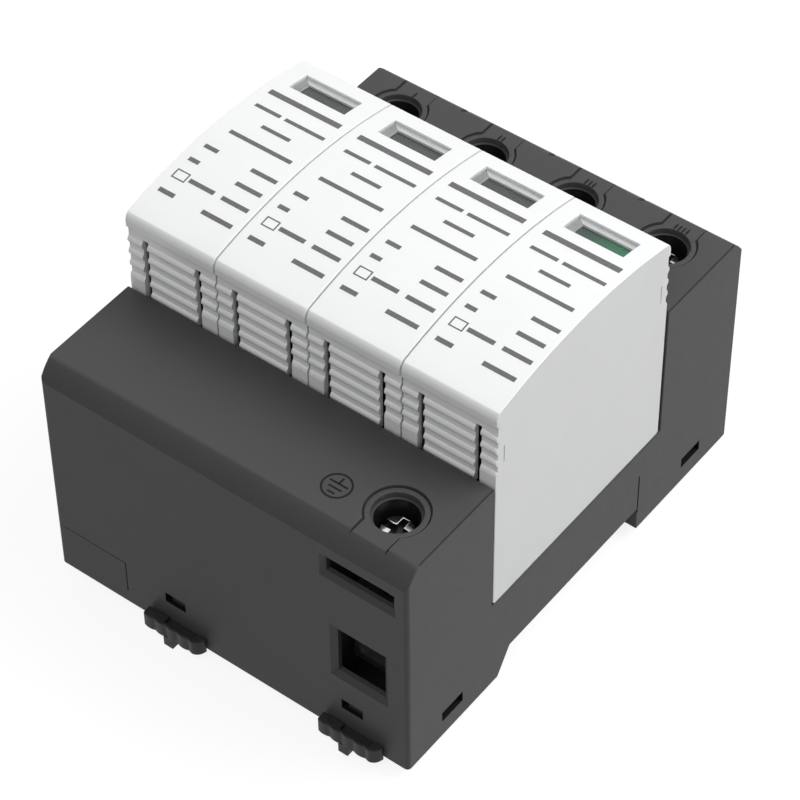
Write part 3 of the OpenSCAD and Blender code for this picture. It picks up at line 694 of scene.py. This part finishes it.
def bar_points(name: str, bars: Sequence[tuple[Vector, Vector]]) -> Mesh:
    """Makes a mesh of loose points that carry the size of a bar.

    Args:
        name: Name of the mesh.
        bars: Middle and size of each bar.

    Returns:
        The mesh, with the sizes in the attribute bar_size.
    """
    mesh = loose_points(name, [middle for middle, _ in bars])
    sizes = mesh.attributes.new("bar_size", "FLOAT_VECTOR", "POINT")
    for place, (_, size) in enumerate(bars):
        sizes.data[place].vector = size
    return mesh


@cache
def arched_bars_tree() -> NodeTree:
    """Makes a tree that sets a slab at each point and bends it over an arched top.

    Returns:
        The tree.
    """
    made = NodeTree("arched_bars", ("Arch Radius", "Arch Top"), "Ink")
    radius, top = made.numbers
    slab = made.add("GeometryNodeMeshCube", {"Size": (1, 1, 1), "Vertices Y": 4})
    size = made.add("GeometryNodeInputNamedAttribute", {"Name": "bar_size"}, data_type="FLOAT_VECTOR")
    bars = made.repeat(slab.outputs["Mesh"], Scale=size.outputs["Attribute"])
    where = made.add("GeometryNodeInputPosition").outputs["Position"]
    across = made.add("ShaderNodeSeparateXYZ", {"Vector": where}).outputs["Y"]
    squares = [made.maths("MULTIPLY", value, value) for value in (radius, across)]
    rise = made.maths("SQRT", made.maths("SUBTRACT", *squares))
    lift = made.maths("ADD", made.maths("SUBTRACT", top, radius), rise)
    bent = made.add("GeometryNodeSetPosition", {"Geometry": bars, "Offset": made.vector(Z=lift)})
    made.close(bent.outputs["Geometry"])
    return made


@cache
def raised_pips_tree() -> NodeTree:
    """Makes a tree that sets a raised, rounded bar at each point.

    Returns:
        The tree.
    """
    made = NodeTree("raised_pips", ("Length", "Width", "Height"), "Plastic")
    length, width, height = made.numbers
    dome = made.add("GeometryNodeMeshUVSphere", {"Segments": 20, "Rings": 10, "Radius": 1})
    size = made.vector(X=made.half(width), Y=made.half(length), Z=height)
    pips = made.repeat(dome.outputs["Mesh"], Scale=size)
    made.close(made.add("GeometryNodeSetShadeSmooth", {"Geometry": pips}).outputs["Geometry"])
    return made


@cache
def thread_tree() -> NodeTree:
    """Makes a tree that winds a thread ridge round a core, starting at each point.

    Returns:
        The tree.
    """
    made = NodeTree("screw_thread", ("Crest Radius", "Pitch", "Depth", "Height"), "Metal")
    crest, pitch, depth, height = made.numbers
    root = made.maths("SUBTRACT", crest, depth)
    wound = made.maths("SUBTRACT", height, pitch)
    turns = made.maths("DIVIDE", wound, pitch)
    helix = made.add("GeometryNodeCurveSpiral", {"Resolution": 32, "Rotations": turns, "Start Radius": root,
                                                 "End Radius": root, "Height": wound})
    path = made.raised(helix.outputs["Curve"], made.half(pitch))
    profile = made.add("GeometryNodeCurvePrimitiveCircle", {"Resolution": 4, "Radius": depth})
    ridge = made.add("GeometryNodeCurveToMesh", {"Curve": path, "Profile Curve": profile.outputs["Curve"],
                                                 "Fill Caps": True})
    core = made.add("GeometryNodeMeshCylinder", {"Vertices": 48, "Radius": root, "Depth": height})
    join = made.add("GeometryNodeJoinGeometry")
    for shape in (made.raised(core.outputs["Mesh"], made.half(height)), ridge.outputs["Mesh"]):
        made.feed(shape, join.inputs["Geometry"])
    made.close(made.repeat(join.outputs["Geometry"]))
    return made


# Sub-assemblies


class SubAssembly(ABC):
    """A group of pieces that is built and then dressed."""

    @abstractmethod
    def build(self) -> None:
        """Makes the group's meshes and sets them on their bodies."""

    @abstractmethod
    def dress(self) -> None:
        """Gives the carried-over CAD nodes their finishes."""


@dataclass
class Base(SubAssembly):
    """The dark base: housing, bottom cover, contacts and the marks on its blocks."""

    half_w: float = 36 * MM
    half_l: float = 45 * MM
    wall: float = 1.6 * MM
    well_y: float = 23.3 * MM
    well_z: float = 14.2 * MM
    entry_z: float = 5 * MM
    shoulder_z: float = 38 * MM
    outer_edge: float = 0.2 * MM
    fine_edge: float = 0.09 * MM
    ring_r: float = 5.3 * MM
    ring_z: float = 38.2 * MM
    ring_depth: float = 0.45 * MM
    channel_w: float = 7 * MM
    channel_depth: float = 0.3 * MM
    bore_r: float = 3.65 * MM
    bore_z: Pair = (35.5 * MM, 40.6 * MM)
    bore_play: float = 0.1 * MM
    upright: float = 0.2
    snap_side: Pair = (33.5 * MM, -0.4 * MM)
    snap_end_z: float = 2.2 * MM
    snap_half: Pair = (2.8 * MM, 1.15 * MM)
    snap_skin: float = 0.3 * MM
    sign_place: Pair = (16.7 * MM, -36.9 * MM)
    sign_r: float = 2.4 * MM
    sign_steps: int = 64
    sign_line: float = 0.34 * MM
    sign_t: float = 0.03 * MM
    sign_sink: float = 0.02 * MM
    sign_stem: float = 1.3 * MM
    sign_bars: tuple[Pair, ...] = ((0.5 * MM, 3.4 * MM), (-0.5 * MM, 2.5 * MM),
                                                  (-1.5 * MM, 1.4 * MM))
    pip_y: float = 40.3 * MM
    pip_pitch: float = 0.75 * MM
    pip_l: float = 1.5 * MM
    pip_w: float = 0.38 * MM
    pip_h: float = 0.14 * MM

    def in_bore(self, face: MeshPolygon) -> bool:
        """Tells the wall of a driver bore.

        Args:
            face: A face of the housing.

        Returns:
            Whether it lies on such a wall.
        """
        low, high = self.bore_z
        if abs(face.normal.z) > self.upright or not low < face.center.z < high:
            return False
        reach = min(math.hypot(face.center.x - x, face.center.y - y) for x, y in TERMINALS)
        return abs(reach - self.bore_r) < self.bore_play

    def in_snap_window(self, face: MeshPolygon) -> bool:
        """Tells the inside of a window for the bottom cover's snap hooks.

        Args:
            face: A face of the housing.

        Returns:
            Whether it lies inside such a window.
        """
        x, y, z = face.center
        side_y, side_z = self.snap_side
        half_across, half_up = self.snap_half
        in_side = (self.wall > self.half_w - abs(x) > self.snap_skin
                   and abs(abs(y) - side_y) < half_across and abs(z - side_z) < half_up)
        in_end = self.wall > self.half_l - abs(y) > self.snap_skin and abs(z - self.snap_end_z) < half_up
        return in_side or in_end

    def on_side_edge(self, face: MeshPolygon) -> bool:
        """Says whether a face rounds the edge between a block's top and its side."""
        at_edge = min(abs(face.center.x) - self.half_w, face.center.z - BLOCK_TOP) > -self.outer_edge
        return at_edge and slanted(abs(face.normal.x)) and slanted(face.normal.z)

    def at_terminal(self, p: Vector) -> bool:
        """Tells the hole, ring and channel of a terminal.

        Args:
            p: A corner of the housing.

        Returns:
            Whether it lies on one of them.
        """
        for x, y in TERMINALS:
            dx, dy = abs(p.x - x), (p.y - y) * math.copysign(1, y)
            in_ring = math.hypot(dx, dy) < self.ring_r + SLACK
            in_channel = dy > 0 and dx < self.channel_w / 2 + SLACK
            if p.z > self.ring_z and (in_ring or in_channel):
                return True
        return False

    def edge_radius(self, a: Vector, b: Vector) -> float:
        """Chooses the rounding of one edge of the housing.

        Args:
            a: One end of the edge.
            b: Its other end.

        Returns:
            The outer radius on the block's and side's edges, a fine one at the terminals, else 0.
        """
        ends = (a, b)
        low, high = sorted((a.z, b.z))
        if all(self.at_terminal(p) for p in ends):
            return self.fine_edge if low > BLOCK_TOP - self.ring_depth else 0
        if all(near(abs(p.y), self.half_l) for p in ends):
            return self.fine_edge if low > self.entry_z and high < self.shoulder_z else 0
        if all(near(p.z, BLOCK_TOP) for p in ends):
            return self.outer_edge
        if all(near(abs(p.x), self.half_w) for p in ends):
            on_well = all(near(abs(p.y), self.well_y) or near(p.z, self.well_z) for p in ends)
            return self.outer_edge if on_well or low > self.shoulder_z else 0
        return 0

    def earth_sign(self) -> Object:
        """Makes the earth sign on the front block.

        Returns:
            The sign.
        """
        bm = bmesh.new()
        x0, y0 = self.sign_place
        low, high = BLOCK_TOP - self.sign_sink, BLOCK_TOP + self.sign_t
        w, stem = self.sign_line / 2, self.sign_bars[0][0]
        inner, outer = self.sign_r - w, self.sign_r + w
        for k in range(self.sign_steps):
            a, b = (2 * math.pi * n / self.sign_steps for n in (k, k + 1))
            ring = ((inner, a), (outer, a), (outer, b), (inner, b))
            add_slab(bm, [(x0 + r * math.cos(t), y0 + r * math.sin(t)) for r, t in ring], low, high)
        bars = [(length / 2, y - w, y + w) for y, length in self.sign_bars]
        for half, below, above in bars + [(w, stem, stem + self.sign_stem)]:
            corners = ((-half, below), (half, below), (half, above), (-half, above))
            add_slab(bm, [(x0 + x, y0 + y) for x, y in corners], low, high)
        bmesh.ops.remove_doubles(bm, verts=bm.verts, dist=WELD)
        hidden = [face for face in bm.faces if all(len(edge.link_faces) > 2 for edge in face.edges)]
        bmesh.ops.delete(bm, geom=hidden, context="FACES_ONLY")
        return new_object("earth_sign", finish_mesh(bm, "earth_sign"), SIGN_INK)

    def pole_pips(self) -> Object:
        """Makes the raised bars that count the poles beside the line terminals.

        Returns:
            The bars, as one piece.
        """
        places = [(x + (k - (pole - 1) / 2) * self.pip_pitch, self.pip_y, BLOCK_TOP - self.channel_depth)
                  for pole, x in POLE_X.items() for k in range(pole)]
        values = {"Length": self.pip_l, "Width": self.pip_w, "Height": self.pip_h,
                  "Plastic": SIGN_INK.material()}
        return raised_pips_tree().run("pole_pips", loose_points("pole_pips", places), values, SIGN_INK)

    def build(self) -> None:
        """Makes the rounded housing, the earth sign and the pole pips."""
        housing = rounded_piece("housing", node_bmesh("base_housing"), BASE_GREY, self.edge_radius)
        # Painted shade: the walls of the driver bores and snap windows get near black that stands in for the
        # shade inside them.
        tint_faces(housing, RECESS_PAINTED_SHADE, lambda face: self.in_bore(face) or self.in_snap_window(face))
        # Painted shade: the rounded top edges of the sides get a darker colour that stands in for a shadow line.
        tint_faces(housing, EDGE_PAINTED_SHADE, self.on_side_edge)
        settle(housing, "base", "base_plastic", "base_housing")
        settle(self.earth_sign(), "base", "base_plastic")
        settle(self.pole_pips(), "base", "base_plastic")

    def dress(self) -> None:
        """Dresses the bottom cover and the contacts."""
        dress_node("bottom_cover", LATCH_BLACK)
        dress_node("earth_busbar", TIN)
        for pole in POLE_X:
            dress_node(f"line_contact_{pole}", TIN)


@dataclass
class Terminal(SubAssembly):
    """One screw terminal: a captive screw with its thread, and a clamp cage."""

    name: str
    screw: str
    cage: str
    x: float
    side: Side
    head_z: float = 35.5 * MM
    head_t: float = 2.5 * MM
    head_cut: float = 0.02 * MM
    rim_h: float = 1.2 * MM
    recess_r: float = 2.9 * MM
    recess_h: float = 0.5 * MM
    shank_z: float = 21.65 * MM
    shank_sink: float = 0.1 * MM
    crest_r: float = 2.44 * MM
    thread_depth: float = 0.32 * MM
    pitch: float = 0.8 * MM
    edge: float = 0.1 * MM

    @property
    def y(self) -> float:
        """The screw's place across the rail."""
        return self.side.value * SCREW_Y

    def in_recess(self, face: MeshPolygon) -> bool:
        """Says whether a face lies in the recess of the head."""
        reach = math.hypot(face.center.x - self.x, face.center.y - self.y)
        return reach < self.recess_r and self.recess_h < face.center.z - self.head_z < self.head_t - self.edge

    def head(self) -> Object:
        """Makes the screw's head with its recess, cut off at its underside.

        Returns:
            The head.
        """
        bm = node_bmesh(self.screw)
        cut = bmesh.ops.bisect_plane(bm, geom=bm.verts[:] + bm.edges[:] + bm.faces[:], dist=WELD,
                                     plane_co=(0, 0, self.head_z + self.head_cut), plane_no=(0, 0, 1),
                                     clear_inner=True)
        bmesh.ops.holes_fill(bm, edges=[e for e in cut["geom_cut"] if isinstance(e, BMEdge)])
        rim_z = self.head_z + self.rim_h
        head = rounded_piece(f"{self.name}_screw_head", bm, ZINC,
                             lambda a, b: self.edge if min(a.z, b.z) > rim_z else 0, 2)
        # Painted shade: the faces in the head's recess get a dark steel colour that stands in for the shade
        # there.
        tint_faces(head, SCREW_PAINTED_SHADE, self.in_recess)
        return head

    def thread(self) -> Object:
        """Makes the threaded shank below the head.

        Returns:
            The shank.
        """
        # Painted shade: the thread gets the same dark steel colour, standing in for the shade it lies in.
        values = {"Crest Radius": self.crest_r, "Pitch": self.pitch, "Depth": self.thread_depth,
                  "Height": self.head_z + self.shank_sink - self.shank_z, "Metal": SCREW_PAINTED_SHADE.material()}
        foot = loose_points("foot", [(self.x, self.y, self.shank_z)])
        return thread_tree().run(f"{self.name}_screw_thread", foot, values, SCREW_PAINTED_SHADE)

    def build(self) -> None:
        """Makes the screw's head and thread."""
        body = f"{self.name}_screw_body"
        settle(self.head(), body, "plated_steel", self.screw)
        settle(self.thread(), body, "plated_steel")

    def dress(self) -> None:
        """Dresses the cage."""
        dress_node(self.cage, CAGE_ZINC)


@dataclass
class RailLatch(SubAssembly):
    """One rail latch with its fluted finger grip."""

    side: str
    grip_y: float = -45.5 * MM
    notch_z: float = -5.2 * MM
    edge: float = 0.14 * MM

    def edge_radius(self, a: Vector, b: Vector) -> float:
        """Rounds only the grip in front of the base, apart from its notch."""
        notch = near(a.z, self.notch_z) and near(b.z, self.notch_z)
        return self.edge if max(a.y, b.y) < self.grip_y and not notch else 0

    def build(self) -> None:
        """Makes the latch with a rounded grip."""
        node = f"rail_latch_{self.side}"
        latch = rounded_piece(f"latch_{self.side}_moulding", node_bmesh(node), LATCH_BLACK, self.edge_radius, 2)
        settle(latch, f"latch_{self.side}", "base_plastic", node)

    def dress(self) -> None:
        """Has no carried-over node to dress."""


@dataclass
class Cartridge(SubAssembly):
    """One plug-in cartridge with its print, window and inner parts.

    The rows of the print are in millimetres: middle, height and spans of the bars.
    """

    pole: int
    half_w: float = 8.85 * MM
    half_l: float = 22.8 * MM
    arch_r: float = 88 * MM
    arch_top: float = 60.4 * MM
    lip_z: float = 54.75 * MM
    mark_inset: float = 1.5 * MM
    seam_edge: float = 0.13 * MM
    lip_edge: float = 0.18 * MM
    fine_edge: float = 0.1 * MM
    window: Triple = (5.65 * MM, 14.15 * MM, 18.85 * MM)
    window_z: float = 57.5 * MM
    ledge_x: float = -4.2 * MM
    ledge_sink: Pair = (0.5 * MM, 1 * MM)
    level: float = 0.9
    ink_t: float = 0.025 * MM
    ink_lift: float = 0.3
    box_size: Pair = (2.6 * MM, 1.95 * MM)
    box_line: float = 0.24 * MM
    box_gap: float = 0.01 * MM
    box_place: Pair = (-5.85 * MM, -12.5 * MM)
    rows: tuple[tuple[float, float, tuple[Pair, ...]], ...] = (
        (11.1, 1.25, ((-7.0, 7.35),)),
        (6.9, 0.8, ((-6.5, -1.4), (-0.5, 7.4))),
        (3.25, 0.8, ((-2.3, 3.4),)),
        (-0.65, 0.85, ((-5.6, 6.8),)),
        (-5.45, 0.85, ((-6.8, -4.1), (2.6, 7.7))),
        (-9.0, 0.85, ((-7.1, -5.05), (2.4, 7.5))),
        (-12.55, 0.85, ((-4.1, 0.9), (2.4, 7.7))),
        (-16.3, 0.85, ((-7.2, -4.1), (1.45, 7.45))),
    )

    @property
    def x(self) -> float:
        """The cartridge's place along the rail."""
        return POLE_X[self.pole]

    def arch(self, y: float) -> float:
        """Returns the height of the arched top at a distance from the middle."""
        return self.arch_top - self.arch_r + math.sqrt(self.arch_r ** 2 - y ** 2)

    def at_window(self, p: Vector) -> bool:
        """Says whether a corner of the cover belongs to the window's pit."""
        half_x, y0, y1 = self.window
        return abs(p.x - self.x) < half_x + SLACK and y0 - SLACK < p.y < y1 + SLACK and p.z > self.window_z

    def edge_radius(self, a: Vector, b: Vector) -> float:
        """Chooses the rounding of one edge of the cover.

        Args:
            a: One end of the edge.
            b: Its other end.

        Returns:
            The seam's radius round the side faces, others at the lip and the window's rim, else 0.
        """
        ends = (a, b)
        if all(near(abs(p.x - self.x), self.half_w) for p in ends):
            on_mark = all(abs(p.y) < self.half_l - self.mark_inset and p.z < self.lip_z for p in ends)
            return 0 if on_mark else self.seam_edge
        if all(self.at_window(p) for p in ends):
            return self.fine_edge if all(p.z - self.arch(p.y) > -SLACK for p in ends) else 0
        at_lip = all(near(p.z, self.lip_z) and near(abs(p.y), self.half_l) for p in ends)
        return self.lip_edge if at_lip else 0

    def on_left_ledge(self, face: MeshPolygon) -> bool:
        """Tells the ledge at the left end of the window.

        Args:
            face: A face of the cover.

        Returns:
            Whether it lies on that ledge.
        """
        half_x, y0, y1 = self.window
        shallow, deep = self.ledge_sink
        sunk = self.arch(face.center.y) - face.center.z
        inside = -half_x < face.center.x - self.x < self.ledge_x and y0 < face.center.y < y1
        return inside and face.normal.z > self.level and shallow < sunk < deep

    def cover(self) -> Object:
        """Makes the white cover with rounded seams.

        Returns:
            The cover.
        """
        bm = node_bmesh(f"cartridge_cover_{self.pole}")
        cover = rounded_piece(f"cover_{self.pole}", bm, COVER_WHITE, self.edge_radius)
        # Painted shade: the white ledge at the window's left end gets a grey that stands in for the shade there.
        tint_faces(cover, LEDGE_PAINTED_SHADE, self.on_left_ledge)
        return cover

    def lens(self) -> Object:
        """Makes the clear window with polished edges."""
        bm = node_bmesh(f"status_window_{self.pole}")
        return rounded_piece(f"lens_{self.pole}", bm, WINDOW_CLEAR, lambda a, b: self.fine_edge, 2)

    def label(self) -> Object:
        """Makes the print on the arched top: plain bars in rows and an empty box.

        Returns:
            The print, as one piece.
        """
        def bar(x: float, y: float, w: float, h: float) -> tuple[Vector, Vector]:
            """Returns the middle and the size of one bar."""
            return Vector((x, y, self.ink_lift * self.ink_t)), Vector((w, h, self.ink_t))

        name = f"label_print_{self.pole}"
        bars = [bar(self.x + (x0 + x1) / 2 * MM, y * MM, (x1 - x0) * MM, h * MM)
                for y, h, spans in self.rows for x0, x1 in spans]
        x, y = self.x + self.box_place[0], self.box_place[1]
        (w, h), line = self.box_size, self.box_line
        for side in (-1, 1):
            bars.append(bar(x, y + side * (h - line) / 2, w, line))
            bars.append(bar(x + side * (w - line) / 2, y, line, h - 2 * line - 2 * self.box_gap))
        values = {"Arch Radius": self.arch_r, "Arch Top": self.arch_top, "Ink": LABEL_INK.material()}
        return arched_bars_tree().run(name, bar_points(name, bars), values, LABEL_INK)

    def build(self) -> None:
        """Makes the cover, the window and the print."""
        body = f"cartridge_{self.pole}"
        settle(self.cover(), body, "cover_plastic", f"cartridge_cover_{self.pole}")
        settle(self.lens(), body, "clear_plastic", f"status_window_{self.pole}")
        settle(self.label(), body, "cover_plastic")

    def dress(self) -> None:
        """Dresses the floor, flag and inner parts."""
        flag = FLAG_GREEN if self.pole == GREEN_POLE else FLAG_GREY
        for node, finish in (("cartridge_floor", COVER_WHITE), ("status_flag", flag), ("varistor", VARISTOR_BLUE),
                             ("front_blade", TIN), ("rear_blade", TIN), ("disconnect_spring", COPPER)):
            dress_node(f"{node}_{self.pole}", finish)


# Studio


@dataclass(frozen=True)
class SoftBox:
    """One square area lamp."""

    name: str
    place: Triple
    size: float
    watts: float

    def hang(self, target: Sequence[float]) -> None:
        """Adds the lamp to the scene.

        Args:
            target: What it points at.
        """
        data = bpy.data.lights.new(self.name, "AREA")
        data.shape = "SQUARE"
        data.size = self.size
        data.energy = self.watts
        lamp = bpy.data.objects.new(self.name, data)
        place = Vector(self.place)
        turn = (Vector(target) - place).to_track_quat("-Z", "Y").to_matrix()
        lamp.matrix_world = Matrix.Translation(place) @ turn.to_4x4()
        bpy.context.scene.collection.objects.link(lamp)


@dataclass
class Studio:
    """Floor, light and camera."""

    eye: Triple = (225.23 * MM, -291.03 * MM, 412.98 * MM)
    azimuth: float = 37.70
    elevation: float = 46.99
    roll: float = -0.59
    focal_px: float = 3303.9
    frame_px: float = 800
    sensor: float = 36
    clip: Pair = (0.01, 20)
    world_strength: float = 0.34
    dark_side: Triple = (-0.38, -0.84, 0.38)
    dark_span: Pair = (0.4, 0.85)
    dark_strength: float = 0.25
    boxes: tuple[SoftBox, ...] = (SoftBox("key_box", (0.52, 0.41, 0.835), 0.7, 9.2),
                                  SoftBox("fill_box", (0.08, -0.55, 0.85), 0.5, 2.4))
    aim: Triple = (0, 0, 0.03)
    floor_size: float = 3.0
    floor_gap: float = 0.02 * MM
    floor_white: float = 0.2
    floor_glow: float = 0.86
    floor_mirror: float = 0.7

    def camera(self) -> None:
        """Sets the camera at the photograph's view, for a square frame."""
        az, el, roll = (math.radians(v) for v in (self.azimuth, self.elevation, self.roll))
        back = Vector((math.sin(az) * math.cos(el), -math.cos(az) * math.cos(el), math.sin(el)))
        right = Vector((math.cos(az), math.sin(az), 0))
        up = back.cross(right)
        c, s = math.cos(roll), math.sin(roll)
        turn = Matrix((c * right + s * up, -s * right + c * up, back)).transposed()
        data = bpy.data.cameras.new("camera")
        data.sensor_fit = "HORIZONTAL"
        data.sensor_width = self.sensor
        data.lens = self.focal_px / self.frame_px * self.sensor
        data.clip_start, data.clip_end = self.clip
        eye = bpy.data.objects.new("camera", data)
        eye.matrix_world = Matrix.Translation(Vector(self.eye)) @ turn.to_4x4()
        bpy.context.scene.collection.objects.link(eye)
        bpy.context.scene.camera = eye

    def world(self) -> None:
        """Lights the scene evenly, shows white to the camera and a dimmer front to glossy surfaces."""
        world = bpy.data.worlds.new("studio")
        world.use_nodes = True
        graph = Graph(world.node_tree)

        def light(strength: NodeSocket | float) -> NodeSocket:
            """Adds a white background of one strength."""
            return graph.add("ShaderNodeBackground", {"Color": WHITE, "Strength": strength}).outputs[0]

        def mix(*inputs: NodeSocket) -> NodeSocket:
            """Mixes two backgrounds, by the first input."""
            return graph.add("ShaderNodeMixShader", dict(enumerate(inputs))).outputs[0]

        path = graph.add("ShaderNodeLightPath").outputs
        place = graph.add("ShaderNodeTexCoord").outputs["Generated"]
        towards = Vector(self.dark_side).normalized()
        facing = graph.add("ShaderNodeVectorMath", {0: place, 1: towards}, operation="DOT_PRODUCT")
        start, end = self.dark_span
        dim = graph.add("ShaderNodeMapRange", {"Value": facing.outputs["Value"], "From Min": start,
                                               "From Max": end, "To Min": 1, "To Max": self.dark_strength},
                        interpolation_type="SMOOTHSTEP")
        lit = mix(path["Is Glossy Ray"], light(self.world_strength), light(dim.outputs["Result"]))
        shown = graph.maths("MAXIMUM", path["Is Camera Ray"], path["Is Transmission Ray"])
        graph.add("ShaderNodeOutputWorld", {"Surface": mix(shown, lit, light(1))})
        bpy.context.scene.world = world

    def floor(self) -> None:
        """Lays the pale floor under the part, with a glow of its own for what sees it directly."""
        low = CAD_BOX[0][2] - self.floor_gap
        half = self.floor_size / 2
        mesh = bpy.data.meshes.new("floor")
        mesh.from_pydata([(-half, -half, low), (half, -half, low), (half, half, low), (-half, half, low)], [],
                         [(0, 1, 2, 3)])
        material = bpy.data.materials.new("studio_floor")
        material.use_nodes = True
        graph = Graph(material.node_tree)
        path = graph.add("ShaderNodeLightPath").outputs
        glow: NodeSocket | float = 0.0
        for kind, strength in (("Is Camera Ray", self.floor_glow), ("Is Glossy Ray", self.floor_mirror),
                               ("Is Transmission Ray", self.floor_mirror)):
            glow = graph.maths("MULTIPLY_ADD", path[kind], strength, glow)
        diffuse = graph.add("ShaderNodeBsdfDiffuse", {"Color": (*[self.floor_white] * 3, 1)})
        shine = graph.add("ShaderNodeEmission", {"Color": WHITE, "Strength": glow})
        both = graph.add("ShaderNodeAddShader", {0: diffuse.outputs[0], 1: shine.outputs[0]})
        graph.add("ShaderNodeOutputMaterial", {"Surface": both.outputs[0]})
        mesh.materials.append(material)
        plane = bpy.data.objects.new("floor", mesh)
        bpy.context.scene.collection.objects.link(plane)

    def build(self) -> None:
        """Sets up the view, the light and the floor."""
        bpy.context.scene.view_settings.view_transform = "Standard"
        self.camera()
        self.world()
        self.floor()
        for box in self.boxes:
            box.hang(self.aim)


def main() -> None:
    """Builds and dresses every sub-assembly, then the studio."""
    logging.basicConfig(level=logging.INFO, format="%(name)s: %(message)s")
    groups: list[SubAssembly] = [Base()]
    groups += [Terminal(f"line_{i}", f"terminal_screw_{i}", f"terminal_cage_{i}", x, Side.LINE)
               for i, x in POLE_X.items()]
    groups.append(Terminal("earth", "earth_screw", "earth_cage", POLE_X[EARTH_POLE], Side.EARTH))
    groups += [RailLatch("left"), RailLatch("right")]
    groups += [Cartridge(i) for i in POLE_X]
    for group in groups:
        group.build()
        group.dress()
    Studio().build()


if __name__ == "__main__":
    main()
